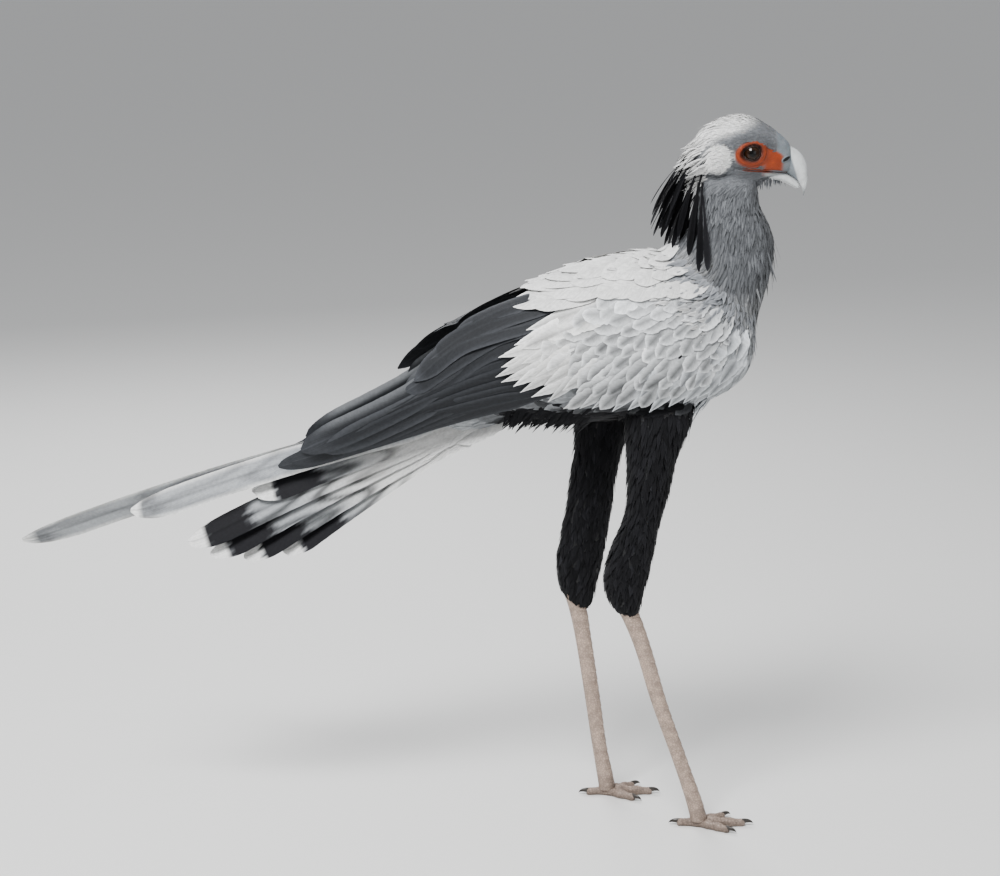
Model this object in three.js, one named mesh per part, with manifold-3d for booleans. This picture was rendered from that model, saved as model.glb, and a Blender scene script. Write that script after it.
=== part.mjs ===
// A secretary bird standing with its wings folded, life size, as a still museum model.
// Millimetres. +X runs from the tail to the bill, +Y to the bird's left, +Z up. The floor is z = 0.
// The origin is on the floor, half way between the bill and the tip of the longest tail feather.
import * as THREE from "three";
import { mergeVertices } from "three/addons/utils/BufferGeometryUtils.js";
import Module from "manifold-3d";

const wasm = await Module();
wasm.setup();

// Driving dimensions.
const LENGTH = 1088; // bill to tail tip, along X
const GAP = 0.3; // clearance between neighbouring pieces
const VANE = 0.6; // thickness of a feather's vane
const BODY_POWER = 2.3; // squareness of the body's cross sections
const LEFT = 1;
const RIGHT = -1;

// Body sections: [x, top, bottom, half width].
const TORSO = [
  [92, 648, 596, 24],
  [130, 697, 582, 42],
  [170, 736, 577, 56],
  [220, 768, 574, 68],
  [280, 800, 577, 76],
  [340, 811, 586, 79],
  [395, 807, 599, 75],
  [440, 781, 618, 62],
  [464, 748, 640, 46],
  [480, 716, 664, 28],
];
const TORSO_FRONT_ROUND = 16;
const TORSO_REAR_ROUND = 26;

// Neck sections: [z, back, front, half width].
const NECK = [
  [690, 360, 474, 56],
  [730, 350, 483, 57],
  [765, 334, 493, 54],
  [795, 335, 501, 50],
  [822, 358, 503, 44],
  [850, 389, 494, 39],
  [876, 393, 481, 34],
  [905, 394, 478, 30],
  [926, 398, 466, 26],
];
const NECK_ROUND = 12;

// Head sections: [x, top, bottom, half width].
const HEAD = [
  [386, 962, 922, 17],
  [398, 974, 906, 25],
  [414, 986, 900, 31],
  [432, 993, 899, 34],
  [450, 996, 901, 34],
  [470, 992, 904, 31],
  [488, 983, 907, 26],
  [503, 973, 910, 20],
  [515, 962, 913, 15],
  [524, 950, 918, 11],
];
const HEAD_BACK_ROUND = 14;
const HEAD_FRONT_ROUND = 6;

// Bill. Each row is a cross section: [ridge x, ridge z, edge x, edge z, half width].
const BILL_UPPER = [
  [504, 962, 494, 926, 14],
  [516, 955, 507, 920.5, 12.5],
  [528, 949, 518, 915, 11],
  [537, 940, 526, 909.5, 9.4],
  [542.5, 927, 532, 904, 7.4],
  [544, 912, 535.5, 898, 5.2],
  [542.5, 899, 537.5, 893, 2.8],
  [539, 887, 538.4, 886.6, 0.8],
];
const BILL_LOWER = [
  [494, 921.4, 490, 909, 12.5],
  [507, 919.4, 503, 907.6, 11],
  [518, 914, 514, 903.8, 9.4],
  [525.5, 908.6, 522, 899.8, 7.4],
  [531, 903.2, 529, 896.8, 4.6],
  [533.4, 899, 532.8, 897.2, 1],
];
const MOUTH = { corner: [443, 925.5], mid: [478, 922.6], front: [530, 916.9], slit: 1.2, depth: 7 };
const EYE = { x: 465, y: 20.6, z: 946.5, radius: 12.6 };
const LID = { radius: 12.4, thick: 2.1, height: 0.86 };
const NOSTRIL = { x: 519.5, y: 12, z: 936, long: 6, high: 1.7, deep: 4, tilt: 0.5 };

// The folded wings lie on this envelope, which runs on behind the torso: [x, top, bottom, half width].
const WING_ENVELOPE = [
  [-190, 556, 486, 35],
  [-140, 580, 494, 42],
  [-80, 616, 506, 48],
  [-20, 655, 521, 54],
  [40, 695, 537, 60],
  [100, 729, 551, 69],
  [150, 754, 559, 77],
  [200, 776, 564, 84],
  [260, 796, 567, 89],
  [320, 804, 574, 92],
  [380, 800, 586, 88],
  [430, 784, 603, 77],
  [465, 755, 628, 58],
  [490, 718, 662, 28],
];

// Legs: [z, back x, front x, half width, side y]. The right leg is forward.
const THIGH = {
  right: [
    [618, 300, 402, 26, 30],
    [597, 298, 396, 29, 37],
    [575, 298, 388, 32, 43],
    [530, 301, 370, 31, 49],
    [477, 302, 359, 27, 53],
    [441, 294, 349, 26, 54],
    [406, 279, 343, 25, 55],
    [363, 270, 334, 24, 56],
    [338, 275, 328, 21, 57],
    [318, 290, 324, 15, 57],
    [306, 305, 320, 9, 57],
  ],
  left: [
    [618, 226, 330, 26, 30],
    [597, 228, 326, 29, 37],
    [575, 232, 318, 32, 43],
    [530, 233, 304, 31, 49],
    [480, 227, 294, 27, 53],
    [441, 222, 290, 26, 54],
    [402, 215, 284, 25, 55],
    [357, 208, 277, 24, 56],
    [325, 211, 270, 21, 57],
    [300, 224, 265, 15, 57],
    [282, 240, 258, 9, 57],
  ],
};
// Shanks: [z, centre x, half depth, half width, side y].
const SHANK = {
  right: [
    [350, 296, 13, 10, 57],
    [328, 301, 14.5, 11, 57],
    [305, 312, 13.5, 9.5, 57],
    [262, 328, 12, 8, 58],
    [188, 350, 11.4, 7.4, 58],
    [98, 382, 11, 7.4, 58],
    [40, 402, 12, 9, 58],
    [14, 410, 13, 11, 58],
  ],
  left: [
    [335, 228, 13, 10, 57],
    [312, 233, 14.5, 11, 57],
    [288, 240, 13.5, 9.5, 57],
    [240, 249, 12, 8, 58],
    [150, 263, 11.4, 7.4, 58],
    [75, 274, 11, 7.4, 58],
    [38, 281, 12, 9, 58],
    [14, 286, 13, 11, 58],
  ],
};
const SCUTES = 11; // raised plates down the front of each shank
const SCUTE_RISE = 1.1;
const ANKLE_CUT = 30; // height at which a foot is parted from its shank
const FOOT = { right: [410, 58], left: [286, 58] };
// Toes: [name, turn from straight ahead in degrees, length, radius at root, radius at tip, joints].
const TOES = [
  ["middle", 0, 66, 9.5, 6, 3],
  ["inner", 34, 47, 8.8, 5.8, 2],
  ["outer", -32, 48, 8.6, 5.6, 3],
  ["hind", 176, 30, 8, 5.6, 1],
];
const CLAW = { length: 17, radius: 4.2, drop: 2.6 };

// Small tools for curves.
const lerp = (a, b, t) => a + (b - a) * t;
const clamp = (v, lo, hi) => Math.min(hi, Math.max(lo, v));
const radians = THREE.MathUtils.degToRad;
const random = (() => {
  let state = 20117;
  return () => {
    state = (state * 16807) % 2147483647;
    return state / 2147483647;
  };
})();
const vary = (amount) => (random() * 2 - 1) * amount;

// A smooth curve through rows, keyed by their first number, that never overshoots them.
function through(rows) {
  const sorted = [...rows].sort((a, b) => a[0] - b[0]);
  const count = sorted.length;
  const width = sorted[0].length;
  const slopes = sorted.map(() => new Array(width).fill(0));
  for (let c = 1; c < width; c++) {
    const secant = [];
    for (let i = 0; i < count - 1; i++) {
      secant.push((sorted[i + 1][c] - sorted[i][c]) / (sorted[i + 1][0] - sorted[i][0]));
    }
    for (let i = 0; i < count; i++) {
      const before = secant[Math.max(0, i - 1)];
      const after = secant[Math.min(count - 2, i)];
      slopes[i][c] = before * after <= 0 ? 0 : (2 * before * after) / (before + after);
    }
  }
  return (key) => {
    const at = clamp(key, sorted[0][0], sorted[count - 1][0]);
    let i = 0;
    while (i < count - 2 && at > sorted[i + 1][0]) i++;
    const span = sorted[i + 1][0] - sorted[i][0];
    const t = (at - sorted[i][0]) / span;
    const h00 = (1 + 2 * t) * (1 - t) ** 2;
    const h10 = t * (1 - t) ** 2;
    const h01 = t * t * (3 - 2 * t);
    const h11 = t * t * (t - 1);
    return sorted[i].map((_, c) =>
      c === 0
        ? at
        : h00 * sorted[i][c] + h10 * span * slopes[i][c] +
          h01 * sorted[i + 1][c] + h11 * span * slopes[i + 1][c],
    );
  };
}

// A point of a superellipse of half sizes a and b at an angle.
function superellipse(a, b, angle, power) {
  const c = Math.cos(angle);
  const s = Math.sin(angle);
  return [a * Math.sign(c) * Math.abs(c) ** (2 / power), b * Math.sign(s) * Math.abs(s) ** (2 / power)];
}

// Solids.
function solid(points, triangles) {
  const geometry = new THREE.BufferGeometry();
  geometry.setAttribute("position", new THREE.Float32BufferAttribute(points.flatMap((p) => p.toArray()), 3));
  geometry.setIndex(triangles.flat());
  const merged = mergeVertices(geometry, 1e-4);
  const index = [];
  for (let i = 0; i < merged.index.count; i += 3) {
    const corner = [0, 1, 2].map((k) => merged.index.getX(i + k));
    if (new Set(corner).size === 3) index.push(...corner);
  }
  const make = (order) =>
    new wasm.Manifold(
      new wasm.Mesh({
        numProp: 3,
        vertProperties: merged.attributes.position.array,
        triVerts: new Uint32Array(order),
      }),
    );
  const made = make(index);
  if (made.volume() > 0) return made;
  for (let i = 0; i < index.length; i += 3) {
    [index[i + 1], index[i + 2]] = [index[i + 2], index[i + 1]];
  }
  return make(index);
}

// A closed skin over rings of points, with a fan at each end.
function loft(rings) {
  const sides = rings[0].length;
  const points = rings.flat();
  const middle = (ring) => ring.reduce((sum, p) => sum.add(p), new THREE.Vector3()).divideScalar(sides);
  const first = points.push(middle(rings[0])) - 1;
  const last = points.push(middle(rings[rings.length - 1])) - 1;
  const triangles = [];
  for (let j = 0; j < sides; j++) {
    const next = (j + 1) % sides;
    for (let i = 0; i < rings.length - 1; i++) {
      const a = i * sides;
      const b = a + sides;
      triangles.push([a + j, a + next, b + next], [a + j, b + next, b + j]);
    }
    const end = (rings.length - 1) * sides;
    triangles.push([first, next, j], [last, end + j, end + next]);
  }
  return solid(points, triangles);
}

// A thin closed plate: point(i, j, side) gives the faces at side 1 and -1, split into triangles alike.
function plate(rows, columns, point) {
  const points = [];
  for (const side of [1, -1]) {
    for (let i = 0; i < rows; i++) {
      for (let j = 0; j < columns; j++) points.push(point(i / (rows - 1), (2 * j) / (columns - 1) - 1, side));
    }
  }
  const under = rows * columns;
  const at = (i, j) => i * columns + j;
  const triangles = [];
  for (let i = 0; i < rows - 1; i++) {
    for (let j = 0; j < columns - 1; j++) {
      for (const [a, b, c] of [
        [at(i, j), at(i, j + 1), at(i + 1, j + 1)],
        [at(i, j), at(i + 1, j + 1), at(i + 1, j)],
      ]) {
        triangles.push([a, b, c], [under + a, under + c, under + b]);
      }
    }
  }
  const rim = [];
  for (let j = 0; j < columns - 1; j++) {
    rim.push([at(0, j + 1), at(0, j)], [at(rows - 1, j), at(rows - 1, j + 1)]);
  }
  for (let i = 0; i < rows - 1; i++) {
    rim.push([at(i, 0), at(i + 1, 0)], [at(i + 1, columns - 1), at(i, columns - 1)]);
  }
  for (const [a, b] of rim) triangles.push([a, b, under + b], [a, under + b, under + a]);
  return solid(points, triangles);
}

const join = (solids) => wasm.Manifold.union(solids);
const largest = (made) => made.decompose().sort((a, b) => b.volume() - a.volume())[0];
const above = (made, height) => made.trimByPlane([0, 0, 1], height);
const ownSide = (made, side) => made.trimByPlane([0, side, 0], GAP / 2);
const below = (made, height) => made.trimByPlane([0, 0, -1], -height);

// Half sizes shrink over the last stretch before an end, which rounds it.
const roundEnd = (toEnd, stretch) => Math.sqrt(clamp(1 - Math.max(0, 1 - toEnd / stretch) ** 2, 0.006, 1));

// A body whose sections stand across X.
function lengthwise(rows, { sides, steps, grow = 0, rearRound, frontRound, power = BODY_POWER }) {
  const section = through(rows);
  const rear = rows[0][0] - grow;
  const front = rows[rows.length - 1][0] + grow;
  const rings = [];
  for (let i = 0; i <= steps; i++) {
    const t = 0.5 - 0.5 * Math.cos((Math.PI * i) / steps);
    const x = lerp(rear, front, lerp(t, i / steps, 0.55));
    const [, top, bottom, half] = section(x);
    const round = Math.min(roundEnd(x - rear, rearRound), roundEnd(front - x, frontRound));
    const ring = [];
    for (let j = 0; j < sides; j++) {
      const [y, z] = superellipse(half + grow, (top - bottom) / 2 + grow, (2 * Math.PI * j) / sides, power);
      ring.push(new THREE.Vector3(x, y * round, (top + bottom) / 2 + z * round));
    }
    rings.push(ring);
  }
  return loft(rings);
}

// A body whose sections lie flat, one above another. The rows hold [z, back, front, half width, side y].
function upright(rows, { sides, steps, grow = 0, lowRound, highRound, side = 0, power = 2.1 }) {
  const section = through(rows);
  const ends = [rows[0][0], rows[rows.length - 1][0]].sort((a, b) => a - b);
  const low = ends[0] - grow;
  const high = ends[1] + grow;
  const rings = [];
  for (let i = 0; i <= steps; i++) {
    const t = 0.5 - 0.5 * Math.cos((Math.PI * i) / steps);
    const z = lerp(low, high, lerp(t, i / steps, 0.6));
    const [, back, front, half, away = 0] = section(z);
    const round = Math.min(roundEnd(z - low, lowRound), roundEnd(high - z, highRound));
    const ring = [];
    for (let j = 0; j < sides; j++) {
      const [x, y] = superellipse((front - back) / 2 + grow, half + grow, (2 * Math.PI * j) / sides, power);
      ring.push(new THREE.Vector3((front + back) / 2 + x * round, side * away + y * round, z));
    }
    rings.push(ring);
  }
  return loft(rings);
}

const torsoWhole = (grow = 0) =>
  lengthwise(TORSO, {
    sides: 18,
    steps: 13,
    grow,
    rearRound: TORSO_REAR_ROUND,
    frontRound: TORSO_FRONT_ROUND,
  });
// The torso is parted into the breast, which holds the weight, and the light plumage of the rump.
const RUMP_CUT = 240;
const torsoSolid = (grow = 0) => torsoWhole(grow).trimByPlane([1, 0, 0], RUMP_CUT + GAP / 2 - grow);
const rumpSolid = (grow = 0) => torsoWhole(grow).trimByPlane([-1, 0, 0], -(RUMP_CUT - GAP / 2 + grow));
const neckSolid = (grow = 0) =>
  upright(NECK, { sides: 16, steps: 11, grow, lowRound: NECK_ROUND, highRound: NECK_ROUND });
const skullSolid = (grow = 0) =>
  lengthwise(HEAD, {
    sides: 16,
    steps: 11,
    grow,
    rearRound: HEAD_BACK_ROUND,
    frontRound: HEAD_FRONT_ROUND,
    power: 2.1,
  });
const thighSolid = (name, side, grow = 0) =>
  upright(THIGH[name], { sides: 14, steps: 10, grow, lowRound: 8, highRound: 14, side });

// Head, with its brows, eye sockets, lids, mouth line and nostrils.
function ellipsoid(centre, radii, sides, steps, turn = new THREE.Euler()) {
  const geometry = new THREE.SphereGeometry(1, sides, steps);
  geometry.scale(...radii);
  geometry.applyQuaternion(new THREE.Quaternion().setFromEuler(turn));
  geometry.translate(...centre);
  geometry.deleteAttribute("normal");
  geometry.deleteAttribute("uv");
  const merged = mergeVertices(geometry, 1e-4);
  const points = [];
  for (let i = 0; i < merged.attributes.position.count; i++) {
    points.push(new THREE.Vector3().fromBufferAttribute(merged.attributes.position, i));
  }
  const triangles = [];
  for (let i = 0; i < merged.index.count; i += 3) {
    triangles.push([0, 1, 2].map((k) => merged.index.getX(i + k)));
  }
  return solid(points, triangles.filter((t) => new Set(t).size === 3));
}
const eyeBall = (side, grow = 0) =>
  ellipsoid([EYE.x, side * EYE.y, EYE.z], new Array(3).fill(EYE.radius + grow), 12, 8);

function lidRing(side) {
  const sides = 14;
  const around = 4;
  const rings = [];
  for (let i = 0; i < sides; i++) {
    const angle = (2 * Math.PI * i) / sides;
    const ring = [];
    for (let j = 0; j < around; j++) {
      const turn = (2 * Math.PI * j) / around;
      const reach = LID.radius + LID.thick * Math.cos(turn) * 0.9;
      const out = EYE.radius * 0.62 + LID.thick * Math.sin(turn) * 1.5;
      ring.push(
        new THREE.Vector3(
          EYE.x + reach * Math.cos(angle),
          side * (EYE.y + out),
          EYE.z + reach * LID.height * Math.sin(angle),
        ),
      );
    }
    rings.push(ring);
  }
  const points = rings.flat();
  const triangles = [];
  for (let i = 0; i < sides; i++) {
    for (let j = 0; j < around; j++) {
      const a = i * around;
      const b = ((i + 1) % sides) * around;
      const next = (j + 1) % around;
      triangles.push([a + j, a + next, b + next], [a + j, b + next, b + j]);
    }
  }
  return solid(points, triangles);
}

// The thin slot of the closed mouth, open at the front and cut in from each side.
function mouthSlot(side) {
  const route = through([MOUTH.corner, MOUTH.mid, MOUTH.front]);
  const [from, to] = [MOUTH.corner[0], MOUTH.front[0]];
  const head = through(HEAD);
  return plate(5, 2, (v, s, face) => {
    const x = lerp(from, to, v);
    const half = head(Math.min(x, 524))[3];
    const inner = Math.max(half - MOUTH.depth, 1);
    return new THREE.Vector3(x, side * lerp(inner, half + 6, (s + 1) / 2), route(x)[1] + (face * MOUTH.slit) / 2);
  });
}

const nostrilCut = (side) =>
  ellipsoid([NOSTRIL.x, side * NOSTRIL.y, NOSTRIL.z], [NOSTRIL.long, NOSTRIL.deep, NOSTRIL.high], 8, 4,
    new THREE.Euler(0, -NOSTRIL.tilt, 0));

const bothSides = (make) => [LEFT, RIGHT].map(make);
const brow = (side) =>
  ellipsoid([EYE.x + 3, side * 24.5, EYE.z + 14], [19, 7, 4.6], 8, 6, new THREE.Euler(0, 0.24, 0));

function headSolid() {
  let made = join([skullSolid(), ...bothSides(brow), ...bothSides(lidRing)]);
  for (const side of [LEFT, RIGHT]) {
    made = made.subtract(eyeBall(side, GAP)).subtract(mouthSlot(side)).subtract(nostrilCut(side));
  }
  return made;
}

// A bill half lofted through its cross sections, flat along the mouth and round over the ridge.
function billSolid(rows) {
  const sides = 12;
  const keyed = rows.map((row, i) => [i, ...row]);
  const section = through(keyed);
  const steps = Math.round((rows.length - 1) * 1.5);
  const rings = [];
  for (let i = 0; i <= steps; i++) {
    const [, ridgeX, ridgeZ, edgeX, edgeZ, half] = section((i / steps) * (rows.length - 1));
    const ring = [];
    for (let j = 0; j < sides; j++) {
      const angle = (2 * Math.PI * j) / sides;
      const [y, h] = superellipse(half, 0.5, angle, 2.3);
      const rise = 0.5 + h;
      ring.push(new THREE.Vector3(lerp(edgeX, ridgeX, rise), y * (1 - 0.22 * rise), lerp(edgeZ, ridgeZ, rise)));
    }
    rings.push(ring);
  }
  return loft(rings);
}

// Feathers on the folded wing's envelope.
const envelope = through(WING_ENVELOPE);
function wingPoint(side, x, angle, lift) {
  const [, top, bottom, half] = envelope(x);
  const [y, z] = superellipse(half + lift, (top - bottom) / 2 + lift, angle, BODY_POWER);
  return new THREE.Vector3(x, side * y, (top + bottom) / 2 + z);
}
function wingAngle(x, z) {
  const [, top, bottom] = envelope(x);
  const t = clamp((z - (top + bottom) / 2) / ((top - bottom) / 2), -0.999, 0.999);
  return Math.asin(Math.sign(t) * Math.abs(t) ** (BODY_POWER / 2));
}
// Feather outline: narrow at the root, full width for most of its length, then rounded off.
function outline(v, roundFrom = 0.8, rootWidth = 0.5) {
  const root = lerp(rootWidth, 1, Math.sin(clamp(v / 0.4, 0, 1) * Math.PI * 0.5));
  const over = clamp((v - roundFrom) / (1 - roundFrom), 0, 1);
  return root * Math.max(Math.sqrt(1 - over * over), 0.14);
}
const rowAt = (v) => 1 - (1 - v) ** 1.7;

// One vane on the envelope: root and tip are [x, z] in side view. Its lower edge stands out by the tilt.
function wingVane(side, { root, tip, half, rootLift, lift, tilt = 0.045, bow = 0, rows = 6, columns = 2, roundFrom }) {
  const from = wingAngle(...root);
  const to = wingAngle(...tip);
  return plate(rows, columns, (row, s, face) => {
    const v = rowAt(row);
    const x = lerp(root[0], tip[0], v);
    const angle = lerp(from, to, v) + bow * Math.sin(Math.PI * v);
    const step = 0.02;
    const radius = wingPoint(side, x, angle + step, 0).distanceTo(wingPoint(side, x, angle - step, 0)) / (2 * step);
    const along = new THREE.Vector2(tip[0] - root[0], (to - from) * radius).normalize();
    const across = s * half * outline(v, roundFrom);
    const out = lerp(rootLift, lift, Math.min(1, v / 0.3)) + tilt * across + (face * VANE) / 2;
    return wingPoint(side, x + along.y * across, angle - (along.x * across) / radius, out);
  });
}

// Tips of the coverts run along this border, from the front of the wing, underneath it, to the back.
const COVERT_BORDER = through([
  [0, 449, 668],
  [1, 426, 638],
  [2, 392, 619],
  [3, 330, 608],
  [4, 263, 606],
  [5, 209, 616],
  [6, 160, 633],
  [7, 128, 650],
  [8, 128, 684],
  [9, 168, 712],
]);
const COVERT_CENTRE = [296, 706];
const COVERT_ROWS = [
  { inward: 0, count: 8, length: 92, half: 24, lift: 2.2 },
  { inward: 0.27, count: 6, length: 78, half: 23, lift: 4.8 },
  { inward: 0.52, count: 4, length: 66, half: 22, lift: 7.4 },
];
function covertVanes(side) {
  const vanes = [];
  for (const row of COVERT_ROWS) {
    for (let k = 0; k < row.count; k++) {
      const share = k / (row.count - 1);
      const [, bx, bz] = COVERT_BORDER(share * 9);
      const tip = [lerp(bx, COVERT_CENTRE[0], row.inward), lerp(bz, COVERT_CENTRE[1], row.inward)];
      const slope = radians(lerp(64, 24, Math.min(1, share * 1.25)));
      const length = row.length * lerp(0.62, 1.1, share);
      const root = [tip[0] + length * Math.cos(slope), tip[1] + length * Math.sin(slope)];
      vanes.push(
        wingVane(side, { root, tip, half: row.half, rootLift: -1.5, lift: row.lift, rows: 4, roundFrom: 0.6 }),
      );
    }
  }
  return vanes;
}

// Primaries and secondaries, from the lowest and longest up.
const FLIGHT_TIPS = through([
  [0, -178, 514],
  [2, -160, 534],
  [3.4, -128, 556],
  [4.6, -66, 580],
  [6, 4, 616],
]);
const FLIGHT_ROOTS = through([
  [0, 206, 628],
  [3.4, 214, 668],
  [6, 244, 726],
]);
const FLIGHT_COUNT = 7;
function flightVanes(side) {
  const vanes = [];
  for (let k = 0; k < FLIGHT_COUNT; k++) {
    const tip = FLIGHT_TIPS(k).slice(1);
    const root = FLIGHT_ROOTS(k).slice(1);
    const half = lerp(17, 23, k / (FLIGHT_COUNT - 1));
    vanes.push(
      wingVane(side, {
        root,
        tip,
        half,
        rootLift: -9 + 1.3 * k,
        lift: -9 + 1.3 * k,
        tilt: 0.03,
        rows: 6,
        roundFrom: 0.86,
        bow: 0.02,
      }),
    );
  }
  return vanes;
}

// The long inner feathers that lie over the flight feathers.
const TERTIALS = [
  { root: [262, 748], tip: { right: [12, 636], left: [-24, 628] }, half: 17 },
  { root: [262, 770], tip: { right: [30, 670], left: [-10, 652] }, half: 18 },
  { root: [252, 788], tip: { right: [62, 706], left: [30, 693] }, half: 17 },
];
const tertialVanes = (side) =>
  TERTIALS.map((one, k) =>
    wingVane(side, {
      ...one,
      tip: side === LEFT ? one.tip.left : one.tip.right,
      rootLift: -1.5,
      lift: 2.2 + 1.5 * k,
      tilt: 0.045,
      rows: 5,
      roundFrom: 0.82,
      bow: 0.05,
    }),
  );

// The pale shoulder feathers, in two tiers.
const SCAPULAR_TIERS = [
  { from: [398, 760], to: [140, 737], rise: 17, count: 4, length: 116, half: 30, lift: 9.6 },
  { from: [392, 790], to: [168, 768], rise: 14, count: 3, length: 108, half: 30, lift: 12 },
];
function scapularVanes(side) {
  const vanes = [];
  for (const tier of SCAPULAR_TIERS) {
    for (let k = 0; k < tier.count; k++) {
      const share = k / (tier.count - 1);
      const tip = [
        lerp(tier.from[0], tier.to[0], share),
        lerp(tier.from[1], tier.to[1], share) + tier.rise * Math.sin(Math.PI * share * 0.8),
      ];
      const length = tier.length * lerp(0.6, 1.05, share);
      const slope = radians(lerp(34, 18, share));
      const root = [tip[0] + length * Math.cos(slope), tip[1] + length * Math.sin(slope) * 0.8];
      vanes.push(
        wingVane(side, { root, tip, half: tier.half, rootLift: -1.5, lift: tier.lift, rows: 4, roundFrom: 0.6 }),
      );
    }
  }
  return vanes;
}

// The folded arm under the coverts, which every root is sunk in.
const ARM = { rear: 172, front: 466, low: 0.46, high: 0.86, outside: 1, inside: -24 };
function armSolid(side) {
  return plate(6, 4, (v, s, face) => {
    const x = lerp(ARM.rear, ARM.front, v);
    const angle = s < 0 ? s * ARM.low * (Math.PI / 2) : s * ARM.high * (Math.PI / 2);
    const edge = Math.min(1, 4 * (1 - Math.abs(s)) + 0.02) * Math.min(1, 5 * v * (1 - v) * 2 + 0.02);
    const lift = face > 0 ? lerp(ARM.outside - 7, ARM.outside, Math.sqrt(edge)) : ARM.inside;
    return wingPoint(side, x, angle, lift);
  });
}

function wingSolid(side) {
  const whole = join([
    armSolid(side),
    ...flightVanes(side),
    ...tertialVanes(side),
    ...covertVanes(side),
    ...scapularVanes(side),
  ]);
  return ownSide(whole.subtract(join([torsoSolid(GAP), rumpSolid(GAP), neckSolid(GAP)])), side);
}

// A free feather from a root point: pitch below level, yaw away from the middle, roll like a roof.
function freeVane({ root, length, half, pitch, sag = 0, yaw = 0, side, roll, rows = 6, columns = 2, grow = 0,
  roundFrom = 0.86, lean = 0.5 }) {
  const point = (v) => {
    const drop = radians(pitch + sag * v);
    const level = length * v * Math.cos(drop);
    return new THREE.Vector3(
      root[0] - level * Math.cos(radians(yaw)),
      root[1] + side * level * Math.sin(radians(yaw)),
      root[2] - length * v * Math.sin(drop),
    );
  };
  return plate(rows, columns, (row, s, face) => {
    const v = rowAt(row);
    const tangent = point(v + 0.01).sub(point(v - 0.01)).normalize();
    const outward = new THREE.Vector3(0, side * Math.cos(radians(roll)), -Math.sin(radians(roll)));
    outward.addScaledVector(tangent, -outward.dot(tangent)).normalize();
    const normal = new THREE.Vector3().crossVectors(tangent, outward).normalize();
    if (normal.z < 0) normal.negate();
    const width = (half + grow) * outline(v, roundFrom, 0.35);
    const camber = -0.06 * half * s * s;
    return point(v)
      .addScaledVector(outward, width * (s + lean))
      .addScaledVector(normal, camber + face * (VANE / 2 + grow));
  });
}

// Tail feathers, from the middle pair out: length, pitch and the drop of the pitch along the feather.
const TAIL_ROOT = [104, 598];
const TAIL_PAIRS = [
  { right: 512, left: 676, pitch: 12, sag: 4.8, half: 20 },
  { right: 336, left: 342, pitch: 17.5, sag: 3, half: 19 },
  { right: 448, left: 442, pitch: 20.5, sag: 4, half: 19 },
  { right: 424, left: 418, pitch: 24, sag: 4, half: 18 },
  { right: 382, left: 386, pitch: 28, sag: 3.5, half: 18 },
  { right: 328, left: 322, pitch: 32, sag: 3, half: 17 },
];
const TAIL_ROLL = 62;
const UNDERTAIL = { count: 3, length: 128, half: 17 };
function tailSolid() {
  const vanes = [];
  TAIL_PAIRS.forEach((pair, i) => {
    for (const side of [LEFT, RIGHT]) {
      vanes.push(
        freeVane({
          root: [TAIL_ROOT[0] - 2 * i, side * (2.4 + 0.2 * i), TAIL_ROOT[1] - 3.4 * i],
          length: side === RIGHT ? pair.right : pair.left,
          half: pair.half,
          pitch: pair.pitch,
          sag: pair.sag,
          yaw: 0.5 + 0.35 * i,
          side,
          roll: TAIL_ROLL,
        }),
      );
    }
  });
  for (let k = 0; k < UNDERTAIL.count; k++) {
    for (const side of [LEFT, RIGHT]) {
      vanes.push(
        freeVane({
          root: [138 - 8 * k, side * (7 - k), 586 - 3 * k],
          length: UNDERTAIL.length - 12 * k,
          half: UNDERTAIL.half,
          pitch: 20 + 4 * k,
          yaw: 3,
          side,
          roll: 50,
          rows: 5,
          roundFrom: 0.55,
        }),
      );
    }
  }
  const tailBase = lengthwise(
    [
      [52, 597, 566, 9],
      [80, 606, 562, 15],
      [110, 620, 566, 20],
      [150, 650, 580, 24],
    ],
    { sides: 10, steps: 6, rearRound: 12, frontRound: 10 },
  );
  return join([tailBase, ...vanes]).subtract(rumpSolid(GAP));
}

// The crest: black plumes that widen towards their ends, hanging from the nape in three tiers.
const CREST_TIERS = [
  { height: 951, plumes: 3, spread: 13, back: [-62, -92], flank: [-46, -84], half: 7, open: 1.6 },
  { height: 930, plumes: 4, spread: 18, back: [-60, -100], flank: [-30, -108], half: 8.5, open: 2 },
  { height: 908, plumes: 4, spread: 21, back: [-40, -84], flank: [-4, -112], half: 9, open: 2.3 },
  { height: 888, plumes: 3, spread: 23, back: [-26, -56], flank: [8, -96], half: 8.5, open: 2.4 },
];
function plume({ root, reach, half, side, open, aside }) {
  const middle = [root[0] + reach[0] * 0.62, root[1] * lerp(1, open, 0.6), root[2] + reach[1] * 0.36];
  const tip = [root[0] + reach[0], root[1] * open, root[2] + reach[1]];
  const route = new THREE.QuadraticBezierCurve3(
    new THREE.Vector3(...root),
    new THREE.Vector3(...middle),
    new THREE.Vector3(...tip),
  );
  return plate(6, 2, (row, s, face) => {
    const v = rowAt(row);
    const tangent = route.getTangent(v);
    const outward = new THREE.Vector3(-0.3 - 0.7 * aside, side * (1 - 0.55 * aside), 0);
    outward.addScaledVector(tangent, -outward.dot(tangent)).normalize();
    const normal = new THREE.Vector3().crossVectors(tangent, outward).normalize();
    const over = clamp((v - 0.8) / 0.2, 0, 1);
    const width = half * lerp(0.42, 1, clamp((v - 0.3) / 0.4, 0, 1)) * Math.max(Math.sqrt(1 - over * over), 0.15);
    return route.getPoint(v).addScaledVector(outward, width * s).addScaledVector(normal, (face * VANE) / 2);
  });
}
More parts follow.
